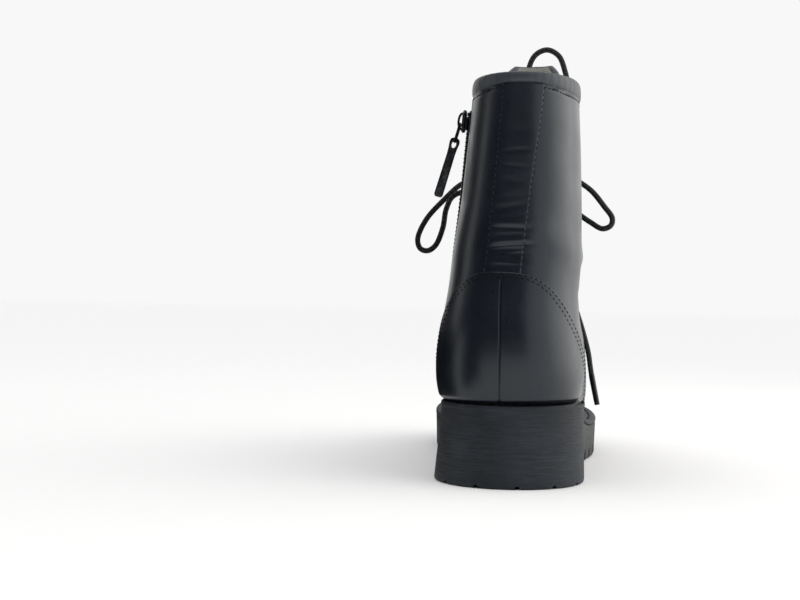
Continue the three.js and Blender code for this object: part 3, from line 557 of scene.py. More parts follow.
class BootColours(bpy.types.PropertyGroup):
    """Base colours of the materials."""

    leather: colour_property("Leather", "Finish of the upper", "#070C14")
    collar: colour_property("Collar", "Soft leather of the collar band", "#2C2E33")
    rubber: colour_property("Rubber", "Heel and welt", "#121418")
    lining: colour_property("Lining", "Textile inside the boot", "#3B3733")
    tongue_lining: colour_property("Tongue lining", "Brushed textile behind the tongue", "#8C8983")
    outsole: colour_property("Outsole", "Walked-on rubber of the outsole", "#23211F")
    thread: colour_property("Thread", "Sewing thread", "#07080A")
    lace: colour_property("Lace", "Braided lace", "#0D0E10")
    metal: colour_property("Metal", "Blackened eyelets, slider and pull", "#3A3B3D")
    tape: colour_property("Zip tape", "Woven tape of the zip", "#0C0D10")
    floor: colour_property("Floor", "Paper sweep under the boot", "#F6F6F6")


def size(name):
    """One of the sizes, in millimetres."""
    return getattr(bpy.context.scene.boot_sizes, name) / MM


# ------------------------------------------------------------------ materials


def add(tree, kind, inputs=None, **settings):
    """Adds a node with its settings; an input is a value, or another node's output to link."""
    made = tree.nodes.new(kind)
    for name, value in settings.items():
        setattr(made, name, value)
    for name, value in (inputs or {}).items():
        if isinstance(value, bpy.types.NodeSocket):
            tree.links.new(value, made.inputs[name])
        else:
            made.inputs[name].default_value = value
    return made


COOL = (0.84, 0.93, 1.0, 1.0)  # faint blue of a carbon-black surface's sheen
STRANDS, BRAID_TURN = 8, 3.2  # of the lace's braid, and radians it turns in one diameter


def start_material(name, colour, roughness, metallic=0.0, ior=1.5, **sockets):
    """A material with its shader; uniform values stand on the shader's own sockets."""
    made = bpy.data.materials.new(name)
    made.use_nodes = True
    tree = made.node_tree
    shader = tree.nodes["Principled BSDF"]
    shader.inputs["Base Color"].default_value = colour
    shader.inputs["Roughness"].default_value = roughness
    shader.inputs["Metallic"].default_value = metallic
    if not metallic:
        shader.inputs["IOR"].default_value = ior
    for socket, value in sockets.items():
        shader.inputs[socket.replace("_", " ")].default_value = value
    return made, tree, shader


def coordinates(tree, output="Object"):
    """The piece's own place in metres, or its map."""
    return add(tree, "ShaderNodeTexCoord").outputs[output]


def noise(tree, vector, scale, detail=4.0, rough=0.55):
    """Soft noise, with scale in waves a metre."""
    inputs = {"Vector": vector, "Scale": scale, "Detail": detail, "Roughness": rough}
    return add(tree, "ShaderNodeTexNoise", inputs).outputs["Fac"]


def tint(tree, value, dark, light, low=0.3, high=0.7):
    """A ramp from one colour to another between two values."""
    ramp = add(tree, "ShaderNodeValToRGB", {"Fac": value})
    ramp.color_ramp.elements[0].position, ramp.color_ramp.elements[1].position = low, high
    ramp.color_ramp.elements[0].color, ramp.color_ramp.elements[1].color = dark, light
    return ramp.outputs["Color"]


def scaled(tree, value, low, high, from_low=0.0, from_high=1.0):
    """A value moved from one range to another."""
    inputs = {
        "Value": value, "From Min": from_low, "From Max": from_high, "To Min": low, "To Max": high,
    }
    return add(tree, "ShaderNodeMapRange", inputs).outputs["Result"]


def bumped(tree, shader, layers):
    """Stacks bumps, each (height, strength, depth in millimetres), onto the shader's normal."""
    normal = None
    for height, strength, depth in layers:
        inputs = {"Height": height, "Strength": strength, "Distance": depth * MM}
        if normal:
            inputs["Normal"] = normal
        normal = add(tree, "ShaderNodeBump", inputs).outputs["Normal"]
    tree.links.new(normal, shader.inputs["Normal"])


def shade(colour, by):
    """A colour made lighter or darker."""
    return (*[min(1.0, c * by) for c in colour[:3]], 1.0)


def finished_leather(name, colour, roughness, grain, coat):
    """Chrome-tanned cowhide, buffed, pigmented and sprayed with a clear finish.

    It gives the eye a soft even sheen, a faint pebble of one millimetre that only shows where the
    light rakes, long shallow unevenness from lasting, and duller patches where hands rubbed it.
    """
    made, tree, shader = start_material(
        name, colour, roughness, Coat_Weight=coat, Coat_Roughness=0.28, Coat_IOR=1.48,
        Specular_Tint=COOL,
    )
    place = coordinates(tree)
    pebbles = add(
        tree, "ShaderNodeTexVoronoi", {"Vector": place, "Scale": 1 / (grain * MM)},
        feature="SMOOTH_F1",
    ).outputs["Distance"]
    pores = noise(tree, place, 2600.0, 2.0)
    waves = noise(tree, place, 42.0, 3.0, 0.5)
    rubbed = noise(tree, place, 24.0, 6.0, 0.62)
    colours = tint(tree, rubbed, shade(colour, 0.82), shade(colour, 1.35), 0.35, 0.75)
    tree.links.new(colours, shader.inputs["Base Color"])
    dull = scaled(tree, rubbed, roughness - 0.05, roughness + 0.1, 0.35, 0.7)
    tree.links.new(dull, shader.inputs["Roughness"])
    bumped(tree, shader, [(waves, 0.5, 0.7), (pebbles, 0.26, 0.15), (pores, 0.08, 0.08)])
    return made


def moulded_rubber(name, colour, lines):
    """Vulcanised rubber, moulded and then buffed round its edge.

    It is matt and slightly grey, with fine level scratches from the buffing wheel that read as
    stacked layers, and pale dust where it has been scuffed.
    """
    made, tree, shader = start_material(name, colour, 0.62, ior=1.52, Specular_Tint=COOL)
    place = coordinates(tree)
    stretched = add(
        tree, "ShaderNodeMapping", {"Vector": place, "Scale": (0.04, 0.04, 1.0)}
    ).outputs["Vector"]
    layers = noise(tree, stretched, 650.0, 3.0, 0.7)
    scratches = noise(tree, stretched, 1500.0, 4.0, 0.8)
    patches = noise(tree, place, 38.0, 6.0, 0.65)
    scuffs = add(tree, "ShaderNodeMath", {0: scratches, 1: patches}, operation="MULTIPLY")
    colours = tint(tree, scuffs.outputs[0], shade(colour, 0.6), shade(colour, 3.4), 0.18, 0.4)
    tree.links.new(colours, shader.inputs["Base Color"])
    tree.links.new(scaled(tree, patches, 0.5, 0.74), shader.inputs["Roughness"])
    grit = noise(tree, place, 1500.0, 2.0)
    bumped(tree, shader, [(layers, 1.0 * lines, 0.9), (scratches, 1.0 * lines, 0.5),
                          (grit, 0.12, 0.1)])
    return made


def textile(name, colour, thread):
    """A plain woven cloth of matt yarn, with its threads as wide as given, in millimetres.

    Its crossed threads show as a fine check, with a painted highlight on the raised crossings and
    painted shade between them over a bump of the same weave, and it has a faint bloom at grazing
    angles.
    """
    made, tree, shader = start_material(name, colour, 0.88, Sheen_Weight=0.25)
    place = coordinates(tree)
    parts = add(tree, "ShaderNodeSeparateXYZ", {"Vector": place})
    pitch = FULL / (2 * thread * MM)
    flat = add(tree, "ShaderNodeMath", {0: parts.outputs[0], 1: parts.outputs[1]}, operation="ADD")
    waves = []
    for source in (flat.outputs[0], parts.outputs[2]):
        turned = add(tree, "ShaderNodeMath", {0: source, 1: pitch}, operation="MULTIPLY")
        waves.append(add(tree, "ShaderNodeMath", {0: turned.outputs[0]}, operation="SINE"))
    weave = add(
        tree, "ShaderNodeMath", {0: waves[0].outputs[0], 1: waves[1].outputs[0]},
        operation="MULTIPLY",
    ).outputs[0]
    # painted highlight and shade: the weave's colour is lighter where its bump is high and darker
    # where it is low
    colours = tint(tree, scaled(tree, weave, 0.0, 1.0, -1.0, 1.0), shade(colour, 0.7),
                   shade(colour, 1.25))
    tree.links.new(colours, shader.inputs["Base Color"])
    bumped(tree, shader, [(weave, 0.5, 0.15)])
    return made


def braided_cord(name, colour):
    """Polyester yarn braided round a core, with a matt wax on it.

    Two families of strands wind against each other, so diamonds as long as the cord is thick show
    along it, each a little proud in its middle. Its colour is painted darker in the hollows between
    the strands and lighter on their crowns: painted shade and painted highlight.
    """
    made, tree, shader = start_material(name, colour, 0.66, Sheen_Weight=0.08)
    parts = add(tree, "ShaderNodeSeparateXYZ", {"Vector": coordinates(tree, "UV")})
    round_it = add(
        tree, "ShaderNodeMath", {0: parts.outputs[0], 1: STRANDS * math.pi}, operation="MULTIPLY"
    ).outputs[0]
    waves = []
    for way in (BRAID_TURN, -BRAID_TURN):
        inputs = {0: parts.outputs[1], 1: way, 2: round_it}
        turned = add(tree, "ShaderNodeMath", inputs, operation="MULTIPLY_ADD").outputs[0]
        waves.append(add(tree, "ShaderNodeMath", {0: turned}, operation="SINE").outputs[0])
    braid = add(tree, "ShaderNodeMath", {0: waves[0], 1: waves[1]}, operation="MULTIPLY")
    height = braid.outputs[0]
    # painted shade and highlight: the braid's colour is darker where its height is low and lighter
    # where it is high, over a bump of the same height
    colours = tint(tree, scaled(tree, height, 0.0, 1.0, -1.0, 1.0), shade(colour, 0.55),
                   shade(colour, 1.7))
    tree.links.new(colours, shader.inputs["Base Color"])
    bumped(tree, shader, [(height, 0.9, 0.3)])
    return made


def blackened_metal(name, colour, roughness):
    """Steel or brass, tumbled smooth and then blackened or painted.

    It mirrors softly, and the dark coat has worn through to a greyer metal in small specks.
    """
    made, tree, shader = start_material(name, colour, roughness, metallic=1.0)
    place = coordinates(tree)
    wear = noise(tree, place, 420.0, 5.0, 0.7)
    colours = tint(tree, wear, shade(colour, 0.6), shade(colour, 2.6), 0.45, 0.78)
    tree.links.new(colours, shader.inputs["Base Color"])
    rough = scaled(tree, wear, roughness - 0.08, roughness + 0.15)
    tree.links.new(rough, shader.inputs["Roughness"])
    bumped(tree, shader, [(noise(tree, place, 900.0), 0.15, 0.05)])
    return made


def twisted_thread(name, colour):
    """Bonded polyester thread: smooth, waxed and slightly shiny, with a faint twist."""
    made, tree, shader = start_material(name, colour, 0.6, Specular_IOR_Level=0.2)
    fibres = noise(tree, coordinates(tree), 5200.0, 1.0)
    tree.links.new(tint(tree, fibres, shade(colour, 0.7), shade(colour, 1.5)),
                   shader.inputs["Base Color"])
    bumped(tree, shader, [(fibres, 0.4, 0.08)])
    return made


def moulded_plastic(name, colour):
    """Clear-coated black plastic, crimped round the lace's tip: smooth, with a sharp gloss."""
    made, tree, shader = start_material(name, colour, 0.3, ior=1.49)
    wear = noise(tree, coordinates(tree), 700.0, 3.0)
    tree.links.new(scaled(tree, wear, 0.22, 0.42), shader.inputs["Roughness"])
    bumped(tree, shader, [(wear, 0.2, 0.05)])
    return made


def paper(name, colour):
    """Matt seamless paper: pale, even, with no gloss."""
    made, tree, shader = start_material(name, colour, 0.95, Specular_IOR_Level=0.1)
    fibres = noise(tree, coordinates(tree), 60.0, 4.0)
    tree.links.new(tint(tree, fibres, shade(colour, 0.99), colour), shader.inputs["Base Color"])
    return made


def make_materials():
    """All the finishes, by plain names."""
    tone = bpy.context.scene.boot_colours
    pick = {name: tuple(getattr(tone, name)) for name in BootColours.__annotations__}
    return {
        "upper": finished_leather("finished_cowhide_upper", pick["leather"], 0.36, 1.1, 0.25),
        "counter": finished_leather("finished_cowhide_counter", pick["leather"], 0.36, 1.1, 0.25),
        "guard": finished_leather("matt_cowhide_zip_guard", pick["tape"], 0.7, 1.1, 0.0),
        "collar": finished_leather("soft_nappa_collar", pick["collar"], 0.44, 1.4, 0.15),
        "heel": moulded_rubber("buffed_moulded_rubber_heel", pick["rubber"], 1.0),
        "sole": moulded_rubber("dusty_moulded_rubber_outsole", pick["outsole"], 0.35),
        "welt": moulded_rubber("moulded_rubber_welt", pick["rubber"], 0.25),
        "lining": textile("woven_textile_lining", pick["lining"], 0.6),
        "tongue_lining": textile("brushed_tongue_lining", pick["tongue_lining"], 0.5),
        "sock": textile("woven_sock_over_foam", shade(pick["lining"], 0.7), 0.8),
        "thread": twisted_thread("bonded_polyester_thread", pick["thread"]),
        "lace": braided_cord("braided_polyester_lace", pick["lace"]),
        "metal": blackened_metal("blackened_steel_hardware", pick["metal"], 0.34),
        "teeth": blackened_metal("painted_brass_teeth", shade(pick["metal"], 0.3), 0.45),
        "tape": textile("twill_zip_tape", pick["tape"], 0.5),
        "tip": moulded_plastic("crimped_plastic_tip", pick["lace"]),
        "floor": paper("seamless_paper_floor", pick["floor"]),
    }


finish = {}

# ------------------------------------------------------------------ camera, lights and floor

CAMERA_PLACE = (0.0498, -0.7106, 0.0923)
CAMERA_TURN = math.radians(8.5)  # to the left of straight along the boot
CAMERA_ROLL = math.radians(1.12)
CAMERA_LENS, CAMERA_SENSOR = 61.87, 36.0

# Lamps: where each stands, the point it faces, its width and height in metres, its power in watts,
# and whether reflections show it.
LAMP_COLOUR = (1.0, 0.97, 0.92)  # slightly warm
LAMPS = {
    "side_softbox": ((0.72, 0.30, 0.30), (0.0, 0.0, 0.12), (0.85, 0.9), 2.1, True),
    "floor_fill": ((0.75, -0.35, 0.9), (0.1, 0.0, 0.0), (0.8, 0.8), 2.2, False),
}
# Dark cards, which show in reflections only: place, the point faced, width and height, colour.
CARDS = {
    "card_behind_camera": ((-0.9, -1.5, 0.6), (-0.9, 0.0, 0.6), (4.4, 1.7), "#434D5B"),
    "card_low_behind": ((-0.105, -0.088, 0.03), (0.0, -0.088, 0.03), (0.086, 0.12), "#414C5A"),
    "card_low_aside": ((-0.105, 0.492, 0.03), (0.0, 0.492, 0.03), (1.02, 0.12), "#05080E"),
    "card_high_behind": ((-0.105, -0.071, 0.26), (0.0, -0.071, 0.26), (0.12, 0.34), "#414C5A"),
    "card_high_aside": ((-0.105, 0.055, 0.26), (0.0, 0.055, 0.26), (0.08, 0.34), "#05080E"),
}
FLOOR_REACH = 14.0
FLOOR_DROP = 0.0001  # below the sole, so that the two never lie in one plane


def facing(place, target):
    """A turn that makes -Z point from a place to a target."""
    return (Vector(target) - Vector(place)).to_track_quat("-Z", "Y")


def make_stage():
    """The camera, the lamps, the dark cards, an even white surround and the floor."""
    scene = bpy.context.scene
    lens = bpy.data.cameras.new("camera")
    lens.sensor_width, lens.lens = CAMERA_SENSOR, CAMERA_LENS
    lens.clip_start, lens.clip_end = 0.01, 60
    camera = bpy.data.objects.new("camera", lens)
    scene.collection.objects.link(camera)
    level = Matrix.Rotation(CAMERA_TURN, 4, "Z") @ Matrix.Rotation(math.pi / 2, 4, "X")
    camera.matrix_world = (
        Matrix.Translation(CAMERA_PLACE) @ level @ Matrix.Rotation(CAMERA_ROLL, 4, "Z")
    )
    scene.camera = camera
    scene.view_settings.view_transform = "Standard"

    surround = bpy.data.worlds.new("white_surround")
    surround.use_nodes = True
    tree = surround.node_tree
    sky = tree.nodes["Background"]
    sky.inputs["Color"].default_value = (1.0, 1.0, 1.0, 1.0)
    seen = add(tree, "ShaderNodeBackground", {"Color": linear("#F8F8F8")})
    ray = add(tree, "ShaderNodeLightPath")
    both = add(tree, "ShaderNodeMixShader", {0: ray.outputs["Is Camera Ray"]})
    tree.links.new(sky.outputs[0], both.inputs[1])
    tree.links.new(seen.outputs[0], both.inputs[2])
    tree.links.new(both.outputs[0], tree.nodes["World Output"].inputs["Surface"])
    scene.world = surround

    for name, (place, target, (width, height), power, glossy) in LAMPS.items():
        lamp = bpy.data.lights.new(name, "AREA")
        lamp.color = LAMP_COLOUR
        lamp.shape, lamp.size, lamp.size_y, lamp.energy = "RECTANGLE", width, height, power
        holder = bpy.data.objects.new(name, lamp)
        holder.location = place
        holder.rotation_mode = "QUATERNION"
        holder.rotation_quaternion = facing(place, target)
        holder.visible_camera = False
        holder.visible_glossy = glossy
        scene.collection.objects.link(holder)

    square = np.array([[-1, -1, 0], [1, -1, 0], [1, 1, 0], [-1, 1, 0]], float)
    for name, (place, target, (width, height), colour) in CARDS.items():
        turn = np.array(facing(place, target).to_matrix())
        corners = square * (width / 2, height / 2, 1) @ turn.T + place
        sheet = bpy.data.meshes.new(name)
        sheet.from_pydata(corners.tolist(), [], [(0, 1, 2, 3)])
        flock = start_material(name + "_flock", linear(colour), 0.95, Specular_IOR_Level=0.0)[0]
        sheet.materials.append(flock)
        card = bpy.data.objects.new(name, sheet)
        card.visible_camera = card.visible_diffuse = card.visible_shadow = False
        scene.collection.objects.link(card)

    ground = bpy.data.meshes.new("floor")
    ground.from_pydata((square * FLOOR_REACH - (0, 0, FLOOR_DROP)).tolist(), [], [(0, 1, 2, 3)])
    ground.materials.append(finish["floor"])
    floor = bpy.data.objects.new("floor", ground)
    scene.collection.objects.link(floor)


# ------------------------------------------------------------------ free laces

# Routes of the free lace from the knot outwards, in metres.
ROUTES = {
    "lace_loop_lateral": (
        (0.0105, 0.105, 0.1655), (0.022, 0.101, 0.168), (0.033, 0.094, 0.163),
        (0.041, 0.089, 0.1569), (0.048, 0.086, 0.1482), (0.0527, 0.085, 0.1415),
        (0.052, 0.085, 0.1373), (0.0475, 0.086, 0.1354), (0.040, 0.090, 0.1395),
        (0.024, 0.099, 0.151), (0.0105, 0.105, 0.1595),
    ),
    "lace_loop_medial": (
        (-0.0065, 0.105, 0.1655), (-0.018, 0.101, 0.167), (-0.034, 0.092, 0.1615),
        (-0.045, 0.085, 0.1505), (-0.0547, 0.085, 0.1393), (-0.0595, 0.086, 0.128),
        (-0.0578, 0.086, 0.1226), (-0.0535, 0.086, 0.1214), (-0.049, 0.086, 0.1245),
        (-0.045, 0.087, 0.1348), (-0.0436, 0.0905, 0.146), (-0.040, 0.094, 0.154),
        (-0.030, 0.098, 0.158), (-0.018, 0.102, 0.159), (-0.0065, 0.105, 0.160),
    ),
    "lace_end_lateral": (
        (0.006, 0.107, 0.1565), (0.014, 0.112, 0.147), (0.022, 0.1195, 0.129),
        (0.027, 0.129, 0.110), (0.031, 0.1405, 0.092), (0.036, 0.143, 0.0765),
        (0.0398, 0.1415, 0.063), (0.042, 0.1388, 0.050), (0.046, 0.1345, 0.031),
    ),
    "lace_end_medial": (
        (-0.002, 0.107, 0.1565), (-0.008, 0.114, 0.146), (-0.017, 0.126, 0.129),
        (-0.026, 0.142, 0.112), (-0.031, 0.158, 0.099), (-0.032, 0.173, 0.0895),
        (-0.031, 0.186, 0.0835),
    ),
    "lace_arch": (
        (0.004, 0.107, 0.1695), (0.004, 0.107, 0.187), (0.002, 0.104, 0.207),
        (0.002, 0.1005, 0.227), (0.006, 0.099, 0.2372), (0.013, 0.098, 0.2404),
        (0.020, 0.097, 0.2367), (0.024, 0.096, 0.227), (0.0265, 0.094, 0.215),
        (0.0275, 0.090, 0.204),
    ),
    "lace_run": (
        (-0.001, 0.107, 0.1695), (-0.006, 0.105, 0.179), (-0.013, 0.099, 0.192),
        (-0.017, 0.0945, 0.200),
    ),
}
FAR_END = {"lace_end_lateral": "fitting", "lace_end_medial": "fitting"}
KNOT = np.array([2.0, 105.0, 163.0])
TIP_LENGTH, TIP_RADIUS = 20.0, 1.75


def knot_shape(radius):
    """A bow's knot: two strands lie across each other and a third is wrapped round their middle.

    The strands are flat figures of eight, and the wrap is an ellipse stood on edge.
    """
    t = np.linspace(-1, 1, 40)
    over = np.stack([7.0 * t, -1.4 * np.cos(3 * t) - 0.4, 2.9 * np.sin(2.6 * t)], -1)
    under = np.stack([7.0 * t, 1.5 * np.cos(3 * t) + 0.4, -2.9 * np.sin(2.6 * t) + 0.4], -1)
    a = np.linspace(0, FULL, 41)
    wrap = np.stack([1.2 * np.sin(a) + 0.4, 3.1 * np.cos(a), 4.0 * np.sin(a)], -1)
    parts = [tube(KNOT + line, radius, 12) for line in (over, under, wrap)]
    return joined(parts)


def make_cords():
    """The bow's loops, the lace's two ends with their tips, the slack arch and the knot."""
    radius = size("lace") / 2
    knot = put(
        "lace_knot_wrap", knot_shape(radius * 0.96), finish["lace"],
        stands_for=["lace_knot"],
    )
    cord_map(knot, np.stack([np.linspace(-7, 7, 30), np.zeros(30), np.zeros(30)], -1) + KNOT,
             2 * radius)
    for name, route in ROUTES.items():
        path = curve_through(np.array(route) / MM)
        piece = put(
            name + "_cord", tube(path, radius, 14), finish["lace"],
            stands_for=[name],
        )
        cord_map(piece, path, 2 * radius)
        on_it = [knot] if name == "lace_loop_lateral" else []
        if name in FAR_END:
            far = lengths(path)
            last = path[far > far[-1] - TIP_LENGTH]
            taper = np.interp(np.linspace(0, 1, len(last)), [0, 0.06, 0.9, 1], [0.94, 1, 0.94, 0.8])
            tip = put(
                name + "_tip", tube(last, TIP_RADIUS * taper, 14), finish["tip"]
            )
            on_it.append(tip)


# ------------------------------------------------------------------ upper

# The counter's top edge: rings at an angle from the back line, on each side.
COUNTER_ANGLE = np.array([0, 8, 15, 21, 27, 34, 43.5, 52, 60.0])
COUNTER_LATERAL = np.array([5.66, 5.63, 5.52, 5.30, 4.95, 4.30, 3.12, 1.75, 0.25])
COUNTER_MEDIAL = np.array([5.66, 5.66, 5.62, 5.50, 5.22, 4.62, 3.20, 1.80, 0.25])
STAY_LOW, STAY_HIGH = 5.45, 11.70
# The back strip's middle, medial of the back line, and its half width, at some rings.
STAY_RINGS = np.array([5.4, 6.5, 7.5, 8.6, 9.8, 10.95, 11.8])
STAY_MIDDLE = np.array([3.1, 3.0, 2.7, 2.1, 0.7, -1.0, -1.6])
STAY_HALF = np.array([9.6, 9.7, 9.7, 9.8, 10.3, 10.9, 11.2])
# The back seam, medial of the back line, at some rings.
SEAM_RINGS = np.array([0.0, 1.7, 3.3, 4.4, 5.7])
SEAM_ASIDE = np.array([1.0, 1.1, 1.3, 2.0, 3.2])
FACING_WIDTH = 24.0  # at its middle, for the rolled edges
FACING_PAST = 7.6  # from the eyelets' middles to the facing's outer edge
ZIP_TOP = (23.0, 203.0)  # y and z of the zip's line
ZIP_FOOT = (46.0, 58.0)
ZIP_FIRST, ZIP_LAST, SLIDER_RING = 2.6, 11.15, 10.95


def counter_edge(angle):
    """Ring of the counter's top edge at an angle from the back line."""
    far = np.abs(angle)
    lateral = np.interp(far, COUNTER_ANGLE, COUNTER_LATERAL)
    medial = np.interp(far, COUNTER_ANGLE, COUNTER_MEDIAL)
    return np.where(angle < 0, lateral, medial)


def smooth_edge(function, at, width):
    """A table's value averaged over a width, so that its corners are rounded."""
    steps = np.linspace(-1, 1, 9)
    return np.mean([function(at + s * width) for s in steps], axis=0)


def collar_seam(angle):
    """Ring of the seam under the collar band: close to the edge at the back, lower at the sides."""
    return COLLAR_RING - 0.26 - 0.17 * ease((np.abs(angle) - 8) / 50)


def quarters_shape():
    """The leather from the vamp's seam round the back and up to the collar.

    A grid of rings by turns, its front edges rolled over and set a little above the vamp.
    """
    leather = size("leather")
    place = np.linspace(0, COLLAR_RING, 152)[:, None]
    start = quarter_edge(place)
    shares = spaced(214, 300.0)[None]
    turn = mix(start, FULL - start, shares)
    near = np.minimum(shares, 1 - shares) * 300
    over = 0.5 * (1 - ease((near - 4) / 30)) * ease((7 - place) / 1.5)
    lift = over - (1 - rolled(shares, 300.0)) * (leather + over)
    under_band = (place - collar_seam(back_angle(turn)) + 0.05) * RING_MM
    lift = lift - 0.9 * np.exp(-((under_band / 0.65) ** 2))
    return shell(skin(place, turn, lift), skin(place, turn, -leather + 0 * lift))


def vamp_shape():
    """The toe and instep, from under one quarter's edge over the toe to the other's.

    A grid of rings by turns; it sinks slightly where the quarters lie on it.
    """
    leather = size("leather")
    place = np.concatenate([np.linspace(0, 6.22, 118), [6.24, 6.255, 6.26]])[:, None]
    edge = quarter_edge(np.minimum(place, 5.75)) + 0.06
    edge = np.where(place > 5.75, edge * (1 - 0.45 * ease((place - 5.75) / 0.5)), edge)
    shares = np.linspace(-1, 1, 171)[None]
    turn = edge * shares
    sunk = 0.7 * ease((np.abs(shares) - 0.86) / 0.1)
    top = np.interp(place, [6.2, 6.25, 6.26], [0.0, 0.25, leather * 0.9])
    lift = -0.15 - sunk - top
    return shell(skin(place, turn, lift), skin(place, turn, -leather - sunk))


def lining_shape():
    """The textile lining against the inside of the leather, from the insole to the collar."""
    place = np.linspace(0.45, COLLAR_RING - 0.1, 70)[:, None]
    start = np.where(place < 6.15, 0.004, quarter_edge(np.maximum(place, 6.15)))
    turn = mix(start, FULL - start, np.linspace(0, 1, 130)[None])
    leather = size("leather")
    outer = skin(place, turn, -leather - 0.15)
    return shell(outer, skin(place, turn, -WALL))


def panel(place, turn, height, roll):
    """A panel stitched onto the leather: a thin closed sheet whose edges roll down into it."""
    bury = 0.35
    lift = mix(-bury, height, roll)
    return shell(skin(place, turn, lift), skin(place, turn, -bury - 0.25 + 0 * lift))


def counter_shape():
    """The two heel quarters under the shaft, joined by a seam down the back.

    A grid across the heel by angle and up to the counter's edge; the back seam is a narrow trough.
    """
    side = spaced(190, 120.0) * 2 - 1
    angle = 59.5 * np.sign(side) * np.abs(side) ** 1.6
    top = smooth_edge(counter_edge, angle, 4.0)
    up = np.concatenate([[0.0], spaced(66, 90.0)[4:]])
    place = mix(0.0, top[None], up[:, None])
    line = np.interp(place, SEAM_RINGS, angle_at_side(SEAM_RINGS, SEAM_ASIDE))
    angle = angle[None] + line * (1 - side**2) ** 2
    turn = math.pi + np.radians(angle)
    roll = rolled(np.maximum(up, 0.5), 90.0)[:, None] * rolled((side + 1) / 2, 120.0)[None]
    away = angle - line
    groove = 0.6 * np.exp(-((away / 0.42) ** 2))
    height = size("overlay") - groove * ease((5.45 - place) / 0.3)
    return panel(place, turn, height, roll)


def stay_line(place, share):
    """The angle across the back strip: -1 and 1 are its lateral and medial edges."""
    middle = np.interp(place, STAY_RINGS, STAY_MIDDLE)
    return angle_at_side(place, middle + share * np.interp(place, STAY_RINGS, STAY_HALF))


def turn_further(place, turn, aside):
    """The turn reached by going a distance round each ring, from a turn on it."""
    place, turn, aside = np.broadcast_arrays(place, turn, aside)
    steps = np.linspace(-1.3, 1.3, 261)
    points = bare_surface(np.ravel(place)[:, None], np.ravel(turn)[:, None] + steps)
    run = np.linalg.norm(np.diff(points, axis=1), axis=-1)
    run = np.concatenate([np.zeros((len(run), 1)), np.cumsum(run, 1)], 1)
    run -= run[:, 130:131]
    found = [np.interp(w, r, steps) for w, r in zip(np.ravel(aside), run)]
    return turn + np.reshape(found, np.shape(place))


def angle_at_side(place, aside):
    """The angle from the back line at which the surface is a distance to its side."""
    return np.degrees(turn_further(np.asarray(place, float), math.pi, aside) - math.pi)


def stay_shape():
    """The strip up the back of the shaft, a little wider at its top, creased at the ankle."""
    up = spaced(150, 100.0)
    place = mix(STAY_LOW, STAY_HIGH, up)[:, None]
    across = spaced(22, 20.0)
    low, high = stay_line(place, -1.0), stay_line(place, 1.0)
    roll = rolled(np.clip(up, 0.1, 0.9), 100.0)[:, None] * rolled(across, 20.0)[None]
    angle = mix(low, high, across[None])
    return panel(place, math.pi + np.radians(angle), 0.3 * size("overlay"), roll)


def facing_edge(place, inset):
    """Turn of a line inside the facing's outer edge, which is rounded in at its foot."""
    eyelet = turn_at_half(place, throat_half(place) + EYELET_INSET)
    edge = turn_further(place, eyelet, FACING_PAST - inset)
    share = np.sqrt(np.clip((place - 6.12) / 0.5, 0, 1))
    return mix(quarter_edge(place) + 0.01, edge, share)


def facing_shape(sign):
    """An eyelet facing: a strip along the throat's edge, its foot rounded, its edges rolled."""
    up = spaced(96, 120.0)
    place = mix(6.14, 11.66, up)[:, None]
    inner = quarter_edge(place) + 0.004
    outer = np.maximum(facing_edge(place, 0.0), inner + 0.01)
    across = spaced(26, FACING_WIDTH)
    roll = rolled(up, 120.0)[:, None] * rolled(across, FACING_WIDTH)[None]
    turn = sign * mix(inner, outer, across[None])
    return panel(place, turn, size("overlay"), roll)


def zip_turn(place, aside):
    """The turn, on the medial side, where a ring crosses the zip's line; aside moves round it."""
    back_y, back_z, front_y, front_z = ring_values(place, "back_y", "back_z", "front_y", "front_z")
    slope = (ZIP_TOP[0] - ZIP_FOOT[0]) / (ZIP_TOP[1] - ZIP_FOOT[1])
    line = ZIP_FOOT[0] + slope * (back_z - ZIP_FOOT[1])
    run = front_y - back_y - slope * (front_z - back_z)
    share = (line - back_y) / run + aside / (front_y - back_y)
    return -np.arccos(np.clip(2 * share - 1, -1, 1))


def zip_guard_shape(sign):
    """A strip of leather beside the zip, folded under along the teeth."""
    up = spaced(110, 140.0)
    place = mix(ZIP_FIRST - 0.35, 11.6, up)[:, None]
    across = spaced(10, 6.0)
    inner = mix(3.4, 0.5, ease((place - SLIDER_RING) / 0.4))
    aside = sign * mix(inner, 9.6, across[None])
    roll = rolled(up, 140.0)[:, None] * rolled(across, 6.0, 0.8)[None]
    return panel(place, zip_turn(place, aside), 0.55 * size("overlay"), roll)


def collar_shape():
    """The padded band folded over the collar: a flattened oval carried round the top ring."""
    start = float(turn_at_half(COLLAR_RING, THROAT_TOP))
    turn = mix(start, FULL - start, np.linspace(0, 1, 170))
    turn_angle = back_angle(turn)
    low = collar_seam(turn_angle)
    ends = np.sqrt(np.clip(np.minimum(turn - start, FULL - start - turn) / 0.05, 0.15, 1))
    a = np.linspace(0, FULL, 26, endpoint=False)[None]
    top = COLLAR_RING + 1.3 / RING_MM
    middle, half = (top + low) / 2, (top - low) / 2
    place = middle[:, None] + (half * ends)[:, None] * squared(np.sin(a), 0.8)
    lift = -1.1 + 2.0 * ends[:, None] * squared(np.cos(a), 0.75)
    round_it = turn_angle[:, None]
    wrinkles = 0.10 * np.sin(round_it * 1.9) * np.sin(a * 2) + 0.08 * np.sin(round_it * 0.83 + 1)
    return loft(skin(place, np.broadcast_to(turn[:, None], place.shape), lift + wrinkles))


